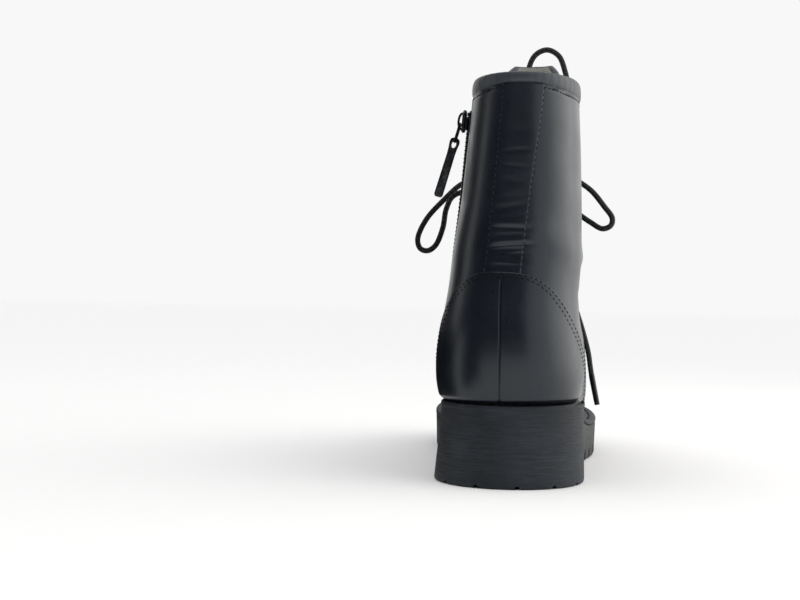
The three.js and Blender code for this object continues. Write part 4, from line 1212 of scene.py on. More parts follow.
def make_upper():
    """Quarters, vamp, lining, counter, back strip, facings, zip guards and collar band."""
    leather = finish["upper"]
    put("quarters", quarters_shape(), leather, stands_for=["upper"])
    put("vamp", vamp_shape(), leather)
    put("shaft_lining", lining_shape(), finish["lining"])
    put("heel_counter", counter_shape(), finish["counter"])
    put("back_strip", stay_shape(), leather)
    for side, sign in (("lateral", 1), ("medial", -1)):
        put("facing_" + side, facing_shape(sign), leather)
    for side, sign in (("front", 1), ("back", -1)):
        put("zip_guard_" + side, zip_guard_shape(sign), finish["guard"])
    put("collar_band", collar_shape(), finish["collar"])


# ------------------------------------------------------------------ tongue

TONGUE_FIRST, TONGUE_LAST = 5.6, 12.98
TONGUE_DEPTH = 5.9  # of its face under the upper's outer face, where the lace runs between


def tongue_grid(low, high, rows, columns, inset=0.0):
    """Places and turns over the tongue, whose end is rounded."""
    rise = np.linspace(0, 1, rows) ** 0.94
    place = mix(low, high, rise)
    corner = 1 - 0.3 * np.clip((rise - 0.88) / 0.12, 0, 1) ** 3
    half = mix(19.0, 23.5, rise) * corner - inset
    side = np.sin(np.linspace(-1, 1, columns) * math.pi / 2 * 0.97) / np.sin(math.pi / 2 * 0.97)
    edge = turn_at_half(place[:, None], np.abs(half[:, None] * side[None]))
    lifted = place[:, None] + 0.03 * side[None] ** 2 * ease((rise[:, None] - 0.85) / 0.15)
    return lifted, np.sign(side)[None] * edge, side[None], rise[:, None]


def tongue_shape():
    """A padded tongue: crowned along its middle, thin at its edges, lightly quilted by the lace."""
    place, turn, side, rise = tongue_grid(TONGUE_FIRST, TONGUE_LAST, 120, 44)
    edge = np.clip(np.minimum((1 - np.abs(side)) / 0.18, (1 - rise) / 0.035), 0, 1)
    crown = np.sqrt(1 - (1 - edge) ** 2)
    press = 0.35 * np.cos((place - 6.55) / (11.5 - 6.55) * 7 * FULL) * (1 - side**2)
    press = press * ease((place - 6.2) / 0.5) * ease((11.8 - place) / 0.4)
    lift = -TONGUE_DEPTH - 0.8 + (1.0 + 1.3 * (1 - side**2)) * crown + press * crown
    inner = -TONGUE_DEPTH - 2.2 - 1.2 * crown
    return shell(skin(place, turn, lift), skin(place, turn, inner + 0 * lift))


def tongue_lining_shape():
    """The textile on the tongue's inner side, just inside its edge."""
    place, turn, _, _ = tongue_grid(TONGUE_FIRST + 0.05, TONGUE_LAST - 0.06, 60, 30, 1.2)
    deep = -TONGUE_DEPTH - 3.3
    flat = 0 * turn
    return shell(skin(place, turn, deep + flat), skin(place, turn, deep - 0.6 + flat))


def make_tongue():
    """The padded tongue and its lining."""
    tongue = put(
        "padded_tongue", tongue_shape(), finish["collar"],
        stands_for=["tongue"],
    )
    put("tongue_lining", tongue_lining_shape(), finish["tongue_lining"])


# ------------------------------------------------------------------ eyelets and laces

EYELET_PAIRS, EYELET_INSET = 8, 8.0
FIRST_EYELET, LAST_EYELET = 6.55, 11.5
# Half section of an eyelet: distance from its middle and height above the facing.
EYELET_SECTION = np.array([
    (2.3, -1.6), (2.3, 0.5), (2.5, 0.95), (2.95, 1.2), (3.5, 1.15), (4.0, 0.85), (4.35, 0.4),
    (4.4, 0.0), (4.1, -0.15), (2.9, -0.25), (2.75, -1.6),
])


def eyelet_place(k):
    """Ring of an eyelet pair, counted from the lowest."""
    return mix(FIRST_EYELET, LAST_EYELET, k / (EYELET_PAIRS - 1))


def eyelets_shape():
    """Rolled rings through the facings: one section turned round each eyelet's axis."""
    k = np.repeat(np.arange(EYELET_PAIRS), 2)
    sign = np.tile([1, -1], EYELET_PAIRS)
    place = eyelet_place(k)
    turn = sign * turn_at_half(place, throat_half(place) + EYELET_INSET)
    up, around, out = surface_frame(place, turn)
    origins = skin(place, turn, size("overlay") + 0.12)
    a = np.linspace(0, FULL, 28, endpoint=False)[:, None]
    ring = np.stack([
        EYELET_SECTION[:, 0] * np.cos(a), EYELET_SECTION[:, 0] * np.sin(a),
        EYELET_SECTION[:, 1] + 0 * a,
    ], -1)
    points, faces = loft(ring, closed=True)
    return copies(points, faces, origins, np.stack([up, around, out], 1))


def lace_point(place, half, lift):
    """A point over the throat: half is signed, positive to the lateral side."""
    turn = np.sign(half) * turn_at_half(place, abs(half))
    return skin(place, turn, lift).reshape(3)


def crossing_route(first):
    """One run of the lace, from the bar over the lowest pair up to the top eyelet.

    It dives under each facing, comes up through the eyelet and crosses over the tongue.
    """
    pitch = eyelet_place(1) - eyelet_place(0)
    route = [lace_point(eyelet_place(0) - 0.01, 0.01 * first, 3.0)]
    side = first
    place = eyelet_place(0)
    gap = float(throat_half(place))
    for half, lift in ((gap + 2, 3.0), (gap + 6.8, 3.5), (gap + 8.2, 0.6), (gap + 6.6, -3.6),
                       (gap, -4.0)):
        route.append(lace_point(place, side * half, lift))
    for k in range(1, EYELET_PAIRS):
        low, high = eyelet_place(k - 1), eyelet_place(k)
        gap = float(throat_half(high))
        over = 0.5 if side > 0 else -2.7
        if k == 1:
            over = -3.2 if side > 0 else -4.8
        route.append(lace_point(mix(low, high, 0.5), 0.01 * side, over))
        side = -side
        for half, lift, lag in ((gap, -3.7, 0.14), (gap + 5.6, -4.4, 0.03),
                                (gap + 8.0, -2.4, 0.0), (gap + 8.3, 0.8, 0.0)):
            route.append(lace_point(high - lag * pitch, side * half, lift))
        if k + 1 < EYELET_PAIRS:
            for half, lift, lead in ((gap + 7.0, 3.6, 0.0), (gap + 2.0, 2.8, 0.13)):
                route.append(lace_point(high + lead * pitch, side * half, lift))
        else:
            end = "lace_arch" if side > 0 else "lace_run"
            route.append(lace_point(high, side * (gap + 7.6), 3.4))
            route.append(np.array(ROUTES[end][-1]) / MM)
    return route


def make_laces():
    """Eyelets, and the two crossing runs threaded through them."""
    names = [f"eyelet_{side}_{k + 1}" for side in ("lateral", "medial") for k in range(8)]
    put("eyelet_rings", eyelets_shape(), finish["metal"], stands_for=names)
    radius = size("lace") / 2
    for side, first, nodes in (("lateral", 1, ["laces"]), ("medial", -1, [])):
        path = curve_through(crossing_route(first), 1.1)
        run = put(
            "lace_crossings_" + side, tube(path, radius, 12), finish["lace"],
            stands_for=nodes,
        )
        cord_map(run, path, 2 * radius)


# ------------------------------------------------------------------ zip


def zip_point(place, aside, lift):
    """A point on the zip, with the folds left out because the tape is stiff."""
    turn = zip_turn(place, aside)
    return bare_surface(place, turn) + surface_frame(place, turn)[2] * np.expand_dims(lift, -1)


def tape_shape():
    """The woven tapes: a flat closed strip, with a round cord's rise under the teeth."""
    place = np.linspace(ZIP_FIRST - 0.1, ZIP_LAST, 120)[:, None]
    aside = np.linspace(-5.4, 5.4, 37)[None]
    flat = 0 * (place + aside)
    rail = 1.55 * np.sqrt(np.clip(1 - (aside / 2.3) ** 4, 0, 1))
    return shell(zip_point(place, aside, 1.15 + rail + flat), zip_point(place, aside, 0.2 + flat))


# Half the length and width of a zip tooth and of a stop, and their levels: height, share of width.
TOOTH_HALF, STOP_HALF = (0.46, 1.75), (1.1, 1.7)
TOOTH_LEVELS = ((-1.0, 0.9), (-0.8, 1.0), (0.5, 1.0), (0.95, 0.6))
STOP_LEVELS = ((-0.9, 0.9), (-0.7, 1.0), (0.6, 1.0), (0.9, 0.8))


def rounded_block(half, levels, power, sides):
    """A block with rounded corners: a squared-off oval at each level, joined one to the next."""
    a = np.linspace(0, FULL, sides, endpoint=False)[None]
    height, wide = np.array(levels).T[:, :, None]
    long, across = half
    return loft(np.stack([
        long * wide * squared(np.cos(a), power), across * wide * squared(np.sin(a), power),
        height + 0 * a,
    ], -1))


def teeth_shape():
    """Interlocked teeth: one small rounded block, set down by turns on each tape.

    Above the slider the two rows part along a smooth curve.
    """
    fine = np.linspace(ZIP_FIRST, ZIP_LAST - 0.03, 600)
    line = zip_point(fine, 0 * fine, 2.0 + 0 * fine)
    far = lengths(line)
    step = size("tooth") / 2
    count = int(far[-1] / step)
    at = np.interp(np.arange(count) * step, far, fine)
    side = np.where(np.arange(count) % 2, 1.0, -1.0)
    parted = 1.5 * ease((at - SLIDER_RING) / 0.35)
    aside = side * (0.75 + parted)
    origins = zip_point(at, aside, 1.95 + 0 * at)
    up, around, out = surface_frame(at, zip_turn(at, aside))
    block = rounded_block(TOOTH_HALF, TOOTH_LEVELS, 0.6, 8)
    return copies(*block, origins, np.stack([up, around, out], 1))


def stops_shape():
    """The metal stops at the zip's two ends: small flat clamps over the tape."""
    place = np.array([ZIP_FIRST - 0.06, ZIP_LAST - 0.02, ZIP_LAST - 0.02])
    aside = np.array([0.0, -2.3, 2.3])
    origins = zip_point(place, aside, 1.9 + 0 * place)
    up, around, out = surface_frame(place, zip_turn(place, aside))
    block = rounded_block(STOP_HALF, STOP_LEVELS, 0.5, 16)
    return copies(*block, origins, np.stack([up, around, out], 1))


# Sizes of the slider and its pull, in the slider's own frame.
SLIDER_BASE = 3.4  # its underside above the bare surface
SLIDER_HALF = (4.2, 6.0, 2.2)  # half width, half length, thickness
BRIDGE_TOP, BRIDGE_WIRE = 4.7, 1.05
PIVOT = (0.0, -1.4, 3.2)
PULL_LEAN, PULL_TOP, PULL_LONG = 16.8, -8.0, 33.0
PULL_HALF, PULL_THICK, LINK_RADIUS = 2.4, 1.6, 0.6


def slider_frame():
    """The slider's origin and its axes: across, up the zip, and out of the boot."""
    place = np.array(SLIDER_RING)
    turn = zip_turn(place, 0.0)
    up, _, out = surface_frame(place, turn, 0.0)
    origin = bare_surface(place, turn, 0.0) + out * SLIDER_BASE
    return origin, np.stack([np.cross(up, out), up, out])


def half_outline(rows, steps=5):
    """A closed outline from rows (across, along) up its right side, then down its left."""
    right = np.array(rows, float)
    fine = np.concatenate([
        np.linspace(right[k], right[k + 1], steps, endpoint=False) for k in range(len(right) - 1)
    ] + [right[-1:]])
    return np.concatenate([fine, fine[::-1] * (-1, 1)])


def plate(outline, low, high, bevel, hole=None):
    """A flat plate with rounded edges; hole is an outline with as many points, or None."""
    middle = outline.mean(0) if hole is None else hole.mean(0)
    levels = ((1 - bevel / 4, low), (1, low + bevel), (1, high - bevel), (1 - bevel / 4, high))
    rings = [
        np.column_stack([middle + (outline - middle) * share, np.full(len(outline), z)])
        for share, z in levels
    ]
    if hole is None:
        return loft(np.array(rings))
    for z in (high, low):
        rings.append(np.column_stack([hole, np.full(len(hole), z)]))
    return loft(np.array(rings), closed=True)


def slider_shape():
    """The slider: two plates joined at its nose, and a wire bridge over the upper one."""
    half, long, thick = SLIDER_HALF
    rows = [(0.62, -1.0), (0.72, -0.9), (0.78, 0.0), (1.0, 0.55), (0.92, 0.75), (0.5, 1.0)]
    outline = half_outline([(x * half, y * long) for x, y in rows])
    parts = [plate(outline, 0.3, thick, 0.5), plate(outline * (0.98, 0.98), -2.6, -1.3, 0.3)]
    for sign in (1, -1):
        side = np.array([[0.86 * half * sign, y * long, -0.6] for y in (-0.75, -0.2, 0.4)])
        parts.append(tube(side, 0.8, 8))
    a = np.linspace(0, math.pi, 25)
    rise = thick - 0.4 + (BRIDGE_TOP - thick) * np.sin(a) ** 0.7
    arch = np.stack([0 * a, -4.3 * np.cos(a), rise], -1)
    parts.append(tube(arch, BRIDGE_WIRE * 0.62, 10))
    return joined(parts)


def pull_shape():
    """The pull: a wire link, and a flat strip threaded on it by the hole in its head.

    The strip's faces look along the boot. They join its outline to the hole's, both counted by
    angle about the hole.
    """
    foot_y = PULL_TOP - PULL_LONG
    rows = [(0.55, foot_y), (0.8, foot_y + 0.4), (1.0, foot_y + 1.4), (0.92, PULL_TOP - 9.0),
            (0.98, PULL_TOP - 6.0), (1.15, PULL_TOP - 2.4), (1.0, PULL_TOP - 0.8),
            (0.6, PULL_TOP)]
    outline = half_outline([(x * PULL_HALF, y) for x, y in rows], 8)
    centre = np.array([0.0, PULL_TOP - 3.6])
    angle = np.arctan2(*(outline - centre).T[::-1])
    hole = centre + np.stack([1.25 * np.cos(angle), 1.9 * np.sin(angle)], -1)
    points, faces = plate(outline, -PULL_THICK / 2, PULL_THICK / 2, 0.3, hole)
    strip = points[:, [2, 1, 0]], faces[:, ::-1]
    width, low, corner = 2.4, PULL_TOP - 2.15, 0.8
    round_it = [(0, 0), (width - corner, 0), (width - 0.25, -0.25), (width, -corner),
                (width, low + corner), (width - 0.25, low + 0.25), (width - corner, low)]
    link = [(x, y, 0.0) for x, y in [*round_it, *[(-x, y) for x, y in round_it[::-1]]]]
    points, faces = joined([strip, tube(resampled(np.array(link), 0.5), LINK_RADIUS, 10)])
    origin, axes = slider_frame()
    lean = math.radians(PULL_LEAN) - math.asin(axes[1][0])
    x, y, z = points.T
    turned = np.stack([
        x, y * math.cos(lean) + z * math.sin(lean), z * math.cos(lean) - y * math.sin(lean)
    ], -1)
    return origin + (turned + PIVOT) @ axes, faces


def make_zip():
    """Tape, teeth and stops, the slider, and the pull on its own body."""
    put("zip_tapes", tape_shape(), finish["tape"], stands_for=["zip_tape"])
    put("zip_teeth", teeth_shape(), finish["teeth"])
    put("zip_stops", stops_shape(), finish["metal"])
    points, faces = slider_shape()
    origin, axes = slider_frame()
    put("slider", (origin + points @ axes, faces), finish["metal"],
        stands_for=["zip_slider"])
    put("pull_tab", pull_shape(), finish["metal"], body=PULL_BODY,
        stands_for=["zip_pull"])


# ------------------------------------------------------------------ sole

LUG_PITCH, LUG_GROOVE, LUG_DEPTH, LUG_REACH = 14.5, 4.0, 5.0, 20.0
NOTCH_WIDTH, NOTCH_DEPTH, NOTCH_REACH = 2.6, 1.7, 7.0
NOTCH_FIRST, NOTCH_STEP, NOTCH_COUNT = -12.5, 30.5, 7  # degrees round the heel's middle
NOTCH_SIDE_Y, NOTCH_SWEEP = 27.0, 39.0  # of the two side notches, and the radius steps are laid on
HEEL_MIDDLE, HEEL_ROUND = (0.5, 3.0), (40.0, 37.8)  # x and y, and half widths of its round back
CHEVRON_PITCH, CHEVRON_DEPTH = 11.0, 2.2  # of the cuts down the tread's middle


def sole_outline(turn, reach):
    """A point of the foot's outline in plan, moved straight out from the upper's edge."""
    step = 0.01
    here = bare_surface(0.0, turn, 0.0)
    run = unit((bare_surface(0.0, turn + step, 0.0) - bare_surface(0.0, turn - step, 0.0))[..., :2])
    return here[..., 0] - run[..., 1] * reach, here[..., 1] + run[..., 0] * reach


def ledge_at(turn):
    """The welt's ledge at a turn."""
    return foot("ledge", bare_surface(0.0, turn, 0.0)[..., 1])


def slab(turn, levels, columns, top=None):
    """A block on the foot's outline.

    levels are (reach, height) pairs from its underside up, a reach for each turn of a full round
    and a height that depends on y; top gives the height of its upper face at x and y. Both faces
    are grids from one side to the other.
    """
    rings = []
    for reach, height in levels:
        x, y = sole_outline(turn, reach)
        rings.append(np.stack([x, y, height(y)], -1))
    wall = np.array(rings)
    count = len(turn) // 2
    closed = np.concatenate([wall, wall[:, :1]], axis=1)
    parts = [(closed.reshape(-1, 3), grid_faces(*closed.shape[:2]))]
    across = (1 - np.cos(np.linspace(0, math.pi, columns))) / 2
    left_ids = (-np.arange(count + 1)) % len(turn)
    for ring, height in ((wall[0], None), (wall[-1], top)):
        right, left = ring[: count + 1], ring[left_ids]
        cap = mix(right[:, None], left[:, None], across[None, :, None])
        if height is not None:
            inside = height(cap[..., 0], cap[..., 1])
            cap[:, 1:-1, 2] = inside[:, 1:-1]
        parts.append((cap.reshape(-1, 3), grid_faces(*cap.shape[:2])))
    return joined(parts)


def welt_shape():
    """The welt: a thin slab with rounded edges, its top scored where its stitches lie."""
    turn = np.linspace(0, FULL, 360, endpoint=False)
    past_heel = ease((bare_surface(0.0, turn)[..., 1] - BREAST + 1.5) / 3)
    ledge = mix(0.4, ledge_at(turn), past_heel)

    def at(drop):
        return lambda y: seat(y) - drop

    levels = [
        (ledge - 0.9, at(WELT_THICKNESS)), (ledge - 0.25, at(WELT_THICKNESS - 0.2)),
        (ledge, at(WELT_THICKNESS - 0.8)), (ledge, at(0.9)), (ledge - 0.25, at(0.3)),
        (ledge - 0.8, at(0.02)), (np.minimum(ledge - 1.0, ledge * 0.55 + 0.45), at(0.0)),
        (np.minimum(ledge - 1.2, ledge * 0.5 + 0.1), at(0.35)),
        (np.minimum(ledge - 1.4, ledge * 0.45 - 0.2), at(0.0)), (-1.0 + 0 * ledge, at(0.0)),
    ]
    return slab(turn, levels, 24)


def lug_cut(x, y):
    """How deep the tread is cut: side grooves, and chevrons down the middle."""
    centre = foot("centre", y)
    phase = (y - (TREAD_START - 4)) / LUG_PITCH
    far = np.abs(x - centre)
    bend = np.maximum(0, y - 150) / 90 * 0.9
    half = (foot("lateral", y) + foot("medial", y)) / 2
    edge = half * closing(y, 172.0, TOE_TIP + 8)
    slant = (far - edge) * np.tan(bend) * 0.9
    groove = np.abs((phase - slant / LUG_PITCH + 0.5) % 1 - 0.5) * LUG_PITCH
    inner = np.clip((far - (edge - LUG_REACH)) / 1.5, 0, 1)
    cut = LUG_DEPTH * ease((LUG_GROOVE / 2 + 0.35 - groove) / 0.7) * ease(inner)
    cut = cut * ease((y - TREAD_START + 8) / 2) * ease((TOE_TIP - 12 - y) / 3)
    wave = ((y + 0.7 * far) / CHEVRON_PITCH + 0.5) % 1 - 0.5
    chevron = CHEVRON_DEPTH * ease((1.5 - np.abs(wave) * CHEVRON_PITCH) / 0.8)
    chevron = chevron * ease((edge - LUG_REACH - 3 - far) / 1.5)
    return cut + chevron * ease((y - TREAD_START + 2) / 4) * ease((TOE_TIP - 30 - y) / 4)


def sole_turns(first_y, last_y, count):
    """Turns round the outline between two distances along the foot, even enough in both."""
    return np.linspace(turn_at_y(0.0, last_y), turn_at_y(0.0, first_y), count)


def block(turn, levels, top, bottom, columns):
    """A part of the sole between two cuts across it.

    turn runs over one side from the outline's own end, where both sides meet, to a cut; each level
    is a (reach, height) pair. Rings of levels from bottom to top on both sides, with the two faces,
    are swept along the foot.
    """
    right, left = [], []
    for reach, height in levels:
        for sign, store in ((1, right), (-1, left)):
            x, y = sole_outline(sign * turn, reach(sign * turn))
            store.append(np.stack([x, y, height(x, y)], -1))
    right, left = np.array(right), np.array(left)
    across = (1 - np.cos(np.linspace(0, math.pi, columns))) / 2
    under = mix(left[0][:, None], right[0][:, None], across[None, :, None])
    over = mix(right[-1][:, None], left[-1][:, None], across[None, :, None])
    under[..., 2] = bottom(under[..., 0], under[..., 1])
    over[..., 2] = top(over[..., 0], over[..., 1])
    ring = np.concatenate([
        under, np.moveaxis(right[1:-1], 0, 1), over, np.moveaxis(left[1:-1][::-1], 0, 1)
    ], axis=1)
    ring = np.concatenate([ring, ring[:, :1]], axis=1)
    end = np.broadcast_to(ring[-1, :-1].mean(0), ring[:1].shape)
    ring = np.concatenate([ring, end])
    return ring.reshape(-1, 3), grid_faces(*ring.shape[:2])


def outsole_shape():
    """The forefoot and waist: side walls that follow the outline, over a cut tread."""
    turn = np.concatenate([
        np.linspace(0.0, 0.25, 26), sole_turns(BREAST + GAP, 243.9, 190)[1:]
    ])

    def ledge(t, less):
        return ledge_at(t) - less

    def under_welt(y):
        return seat(y) - WELT_THICKNESS - GAP

    def low(x, y):
        return tread(y) + lug_cut(x, y)

    levels = [
        (lambda t: ledge(t, 2.2), low),
        (lambda t: ledge(t, 1.3), lambda x, y: np.minimum(low(x, y) + 0.5, under_welt(y) - 3)),
        (lambda t: ledge(t, 0.7), lambda x, y: np.minimum(low(x, y) + 1.8, under_welt(y) - 2.6)),
        (lambda t: ledge(t, 0.5), lambda x, y: mix(low(x, y), under_welt(y), 0.55)),
        (lambda t: ledge(t, 0.2), lambda x, y: under_welt(y) - 1.2),
        (lambda t: ledge(t, 0.4), lambda x, y: under_welt(y) - 0.3),
        (lambda t: ledge(t, 0.9), lambda x, y: under_welt(y)),
    ]
    return block(turn, levels, lambda x, y: under_welt(y), low, 70)


def heel_notch(x, y):
    """Height of the notches: spokes round the back, and one more on each straight side."""
    (middle_x, middle_y), (half_x, half_y) = HEEL_MIDDLE, HEEL_ROUND
    across, back = x - middle_x, (middle_y - y) * half_x / half_y
    k = (np.degrees(np.arctan2(back, across)) - NOTCH_FIRST) / NOTCH_STEP
    nearest = np.clip(np.round(k), 0, NOTCH_COUNT - 1)
    away = np.radians(np.abs(k - nearest) * NOTCH_STEP) * NOTCH_SWEEP

    def notch(distance, reach):
        deep = ease((NOTCH_WIDTH / 2 + 0.25 - distance) / 0.5)
        return deep * ease((reach - half_x + NOTCH_REACH) / 0.8)

    spokes = notch(away, np.hypot(across, back))
    sides = notch(np.abs(y - NOTCH_SIDE_Y), np.abs(across))
    return NOTCH_DEPTH * np.maximum(spokes, sides)


# Levels of the heel block: how far it stands out past the upper's edge, and a share of its height.
HEEL_LEVELS = (
    (3.0, 0.0), (3.7, 0.012), (3.85, 0.04), (3.6, 0.15), (3.2, 0.3), (2.8, 0.45), (2.45, 0.6),
    (2.2, 0.74), (2.0, 0.86), (1.95, 0.92), (2.1, 0.94), (2.3, 0.96), (2.25, 0.98),
    (1.95, 0.994), (1.5, 0.992), (1.1, 0.975), (0.4, 0.965),
)
HEEL_SHIFT_FOOT, HEEL_SHIFT_TOP = 0.5, 1.85  # of the block to the lateral side


def heel_shape():
    """The heel block: waisted sides that flare at the tread, notched round its lower edge.

    It takes the welt's thickness in at its top, so that one edge shows under the leather.
    """
    back = np.linspace(math.pi, math.pi - 0.3, 40)
    ahead = sole_turns(-24.0, BREAST - GAP, 150)[::-1]
    turn = np.concatenate([back, ahead[ahead < math.pi - 0.302]])

    def height(share):
        def at(x, y):
            rise = share * (seat(y) - 0.1)
            return np.maximum(rise, heel_notch(x, y) * (1 - share) + 0.4 * share)

        return at

    levels = [(lambda t, r=reach: r + 0 * t, height(share)) for reach, share in HEEL_LEVELS]
    points, faces = block(turn, levels, height(HEEL_LEVELS[-1][1]), height(0.0), 60)
    shift = mix(HEEL_SHIFT_FOOT, HEEL_SHIFT_TOP, np.clip(points[:, 2] / SEAT_HEEL, 0, 1))
    points[:, 0] += shift
    return points, faces


def insole_shape():
    """The padded footbed: a thin slab inside the upper, dished a little under the heel."""
    turn = np.linspace(0, FULL, 200, endpoint=False)
    inset = -(WALL + 0.6)

    def at(lift):
        return lambda y: seat(y) + SEAT_GAP + lift

    def face(x, y):
        far = np.hypot(x / 26, (y - 5) / 34)
        return seat(y) + SEAT_GAP + 4.0 - 0.9 * np.exp(-(far**2))

    levels = [(inset + 0 * turn, at(0.0)), (inset + 0 * turn, at(3.3)),
              (inset - 0.5 + 0 * turn, at(4.0))]
    return slab(turn, levels, 30, face)


def make_sole():
    """Welt, outsole, heel block and insole."""
    put("stitched_welt", welt_shape(), finish["welt"], stands_for=["welt"])
    put("lugged_outsole", outsole_shape(), finish["sole"],
        stands_for=["outsole"])
    put("heel_block", heel_shape(), finish["heel"], stands_for=["heel"])
    put("footbed", insole_shape(), finish["sock"], stands_for=["insole"])


# ------------------------------------------------------------------ stitching


# Stitch rows, in millimetres in from a panel's edge, or to the sides of a seam or of the zip.
COUNTER_ROWS, FACING_ROWS, QUARTER_ROWS = (1.7, 4.0), (2.0, 4.0), (2.0, 4.2)
SEAM_SIDES, GUARD_ROWS = (-3.4, 3.4), (-8.2, -5.2, 5.2, 8.2)


def stitch_row(points, out, pitch, radius):
    """Thread that shows between holes: long ovals set end to end along a seam, half sunk in."""
    far = lengths(points)
    count = max(2, int(far[-1] / pitch))
    at = (np.arange(count) + 0.5) * far[-1] / count

    def along_row(values, places):
        return np.stack([np.interp(places, far, values[:, k]) for k in range(3)], -1)

    origins = along_row(points, at)
    normal = unit(along_row(out, at))
    along = unit(along_row(points, at + 0.2) - along_row(points, at - 0.2))
    side = unit(np.cross(normal, along))
    a = np.linspace(0, FULL, 7, endpoint=False)[None]
    t = np.linspace(-0.94, 0.94, 6)[:, None]
    thick = radius * np.sqrt(1 - np.abs(t) ** 2.6)
    half = 0.42 * pitch
    ring = np.stack([
        half * t + 0 * a, thick * np.cos(a),
        thick * np.sin(a) - radius * (0.05 + 0.9 * t**2),
    ], -1)
    return copies(*loft(ring), origins, np.stack([along, side, np.cross(along, side)], 1))


def seam(place, turn, lift):
    """A stitch row along places and turns on the leather, at a height above it."""
    place, turn = np.broadcast_arrays(np.asarray(place, float), np.asarray(turn, float))
    points = skin(place, turn, lift)
    out = surface_frame(place, turn)[2]
    return stitch_row(points, out, size("stitch"), size("thread") / 2)


def upper_seams():
    """All the visible rows of stitches on the upper."""
    proud = size("overlay")
    rows = []
    angle = np.linspace(-58.5, 58.5, 240)
    top = smooth_edge(counter_edge, angle, 4.0)
    for inset in COUNTER_ROWS:
        slope = np.gradient(top, angle) * RING_MM / 0.66
        drop = inset * np.sqrt(1 + slope**2) / RING_MM
        keep = top - drop > 0.15
        rows.append(seam((top - drop)[keep], math.pi + np.radians(angle[keep]), proud))
    place = np.linspace(3.0, 5.45, 60)
    middle = np.interp(place, SEAM_RINGS, SEAM_ASIDE)
    for aside in SEAM_SIDES:
        angles = angle_at_side(place, middle + aside)
        rows.append(seam(place, math.pi + np.radians(angles), proud - 0.05))
    place = np.linspace(5.75, 11.66, 160)
    for sign in (-1, 1):
        angle = stay_line(place, sign * 0.97)
        rows.append(seam(place, math.pi + np.radians(angle), 0.05))
    turn = np.linspace(0.62, FULL - 0.62, 300)
    rows.append(seam(collar_seam(back_angle(turn)) - 0.1, turn, -0.15))
    for sign in (1, -1):
        place = np.linspace(6.45, 11.6, 160)
        for inset in FACING_ROWS:
            rows.append(seam(place, sign * facing_edge(place, inset), proud))
        rows.append(seam(place, sign * (quarter_edge(place) + 0.035), proud))
        place = np.linspace(0.3, 5.6, 160)
        for inset in QUARTER_ROWS:
            edge = quarter_edge(place) + inset / 95
            rows.append(seam(place, sign * edge, 0.45))
    place = np.linspace(ZIP_FIRST - 0.2, ZIP_LAST - 0.08, 160)
    for aside in GUARD_ROWS:
        rows.append(seam(place, zip_turn(place, aside), 0.55 * proud))
    return joined(rows)


def welt_seam():
    """The welt's stitches: thick thread along its top, from one side of the waist to the other."""
    turn = sole_turns(52.0, 247.9, 200)
    turn = np.concatenate([turn[:0:-1], -turn])
    ledge = ledge_at(turn)
    x, y = sole_outline(turn, np.minimum(ledge - 1.2, ledge * 0.5 + 0.1))
    points = np.stack([x, y, seat(y) - 0.15], -1)
    out = np.broadcast_to([0.0, 0.0, 1.0], points.shape)
    return stitch_row(points, out, size("welt_stitch"), size("thread") * 0.95)


def tongue_seam():
    """A row of stitches round the tongue's top, just inside its edge."""
    rows, columns, first = 120, 44, 70
    place, turn, _, _ = tongue_grid(TONGUE_FIRST, TONGUE_LAST - 0.2, rows, columns, 4.0)

    def round_top(grid):
        grid = np.broadcast_to(grid, (rows, columns))
        return np.concatenate([grid[first:, 0], grid[-1], grid[:first - 1:-1, -1]])

    return seam(round_top(place), round_top(turn), -TONGUE_DEPTH + 0.5)


def make_stitches():
    """The upper's, the tongue's and the welt's stitches."""
    thread = finish["thread"]
    put("upper_stitches", upper_seams(), thread)
    put("tongue_stitches", tongue_seam(), thread)
    put("welt_stitches", welt_seam(), thread)


# ------------------------------------------------------------------ operators, panel and main


class BOOT_OT_stage(bpy.types.Operator):
    """Makes the camera, lights and floor"""

    bl_idname = "boot.stage"
    bl_label = "Stage"

    def execute(self, context):
        make_stage()
        return {"FINISHED"}


class BOOT_OT_cords(bpy.types.Operator):
    """Makes the bow, the lace's ends and its slack arch"""

    bl_idname = "boot.cords"
    bl_label = "Free laces"

    def execute(self, context):
        make_cords()
        return {"FINISHED"}


class BOOT_OT_upper(bpy.types.Operator):
    """Makes the leather upper with its panels, lining and collar"""

    bl_idname = "boot.upper"
    bl_label = "Upper"

    def execute(self, context):
        make_upper()
        return {"FINISHED"}


class BOOT_OT_tongue(bpy.types.Operator):
    """Makes the padded tongue"""

    bl_idname = "boot.tongue"
    bl_label = "Tongue"

    def execute(self, context):
        make_tongue()
        return {"FINISHED"}


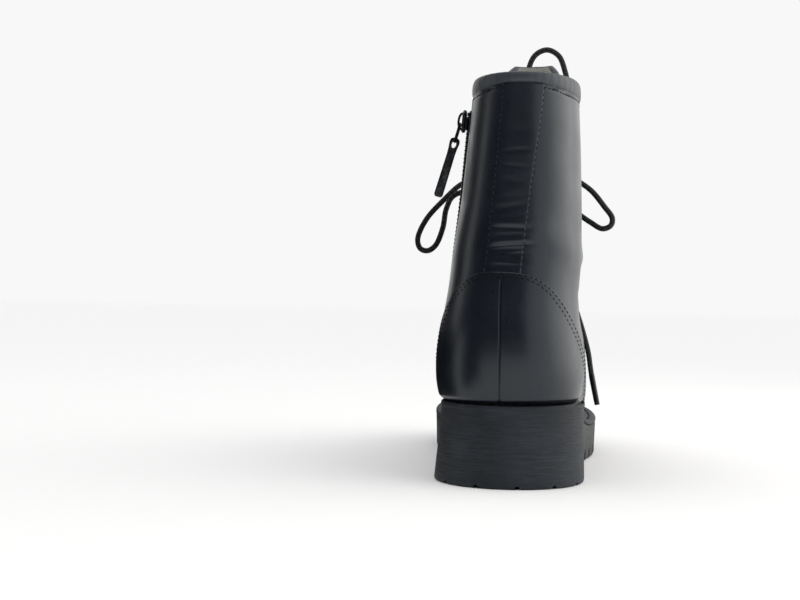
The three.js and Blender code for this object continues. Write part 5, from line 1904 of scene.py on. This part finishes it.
class BOOT_OT_sole(bpy.types.Operator):
    """Makes the welt, outsole, heel and insole"""

    bl_idname = "boot.sole"
    bl_label = "Sole"

    def execute(self, context):
        make_sole()
        return {"FINISHED"}


class BOOT_OT_laces(bpy.types.Operator):
    """Makes the eyelets and the lace through them"""

    bl_idname = "boot.laces"
    bl_label = "Eyelets and lacing"

    def execute(self, context):
        make_laces()
        return {"FINISHED"}


class BOOT_OT_zip(bpy.types.Operator):
    """Makes the zip with its slider and pull"""

    bl_idname = "boot.zip"
    bl_label = "Zip"

    def execute(self, context):
        make_zip()
        return {"FINISHED"}


class BOOT_OT_stitches(bpy.types.Operator):
    """Makes the stitches"""

    bl_idname = "boot.stitches"
    bl_label = "Stitches"

    def execute(self, context):
        make_stitches()
        return {"FINISHED"}


OPERATORS = (
    BOOT_OT_stage, BOOT_OT_cords, BOOT_OT_upper, BOOT_OT_tongue, BOOT_OT_sole, BOOT_OT_laces,
    BOOT_OT_zip, BOOT_OT_stitches,
)


class BOOT_PT_pieces(bpy.types.Panel):
    """Lists the boot's pieces, sizes and colours"""

    bl_idname = "BOOT_PT_pieces"
    bl_label = "Combat boot"
    bl_space_type = "VIEW_3D"
    bl_region_type = "UI"
    bl_category = "Boot"

    def draw(self, context):
        for operator in OPERATORS:
            self.layout.operator(operator.bl_idname)
        for group in (context.scene.boot_sizes, context.scene.boot_colours):
            for name in group.__annotations__:
                self.layout.prop(group, name)


CLASSES = (BootSizes, BootColours, *OPERATORS, BOOT_PT_pieces)


def register():
    for made in CLASSES:
        bpy.utils.register_class(made)
    bpy.types.Scene.boot_sizes = bpy.props.PointerProperty(type=BootSizes)
    bpy.types.Scene.boot_colours = bpy.props.PointerProperty(type=BootColours)


def unregister():
    del bpy.types.Scene.boot_sizes
    del bpy.types.Scene.boot_colours
    for made in reversed(CLASSES):
        bpy.utils.unregister_class(made)


def main():
    register()
    finish.update(make_materials())
    for operator in OPERATORS:
        group, name = operator.bl_idname.split(".")
        getattr(getattr(bpy.ops, group), name)()


if __name__ == "__main__":
    main()
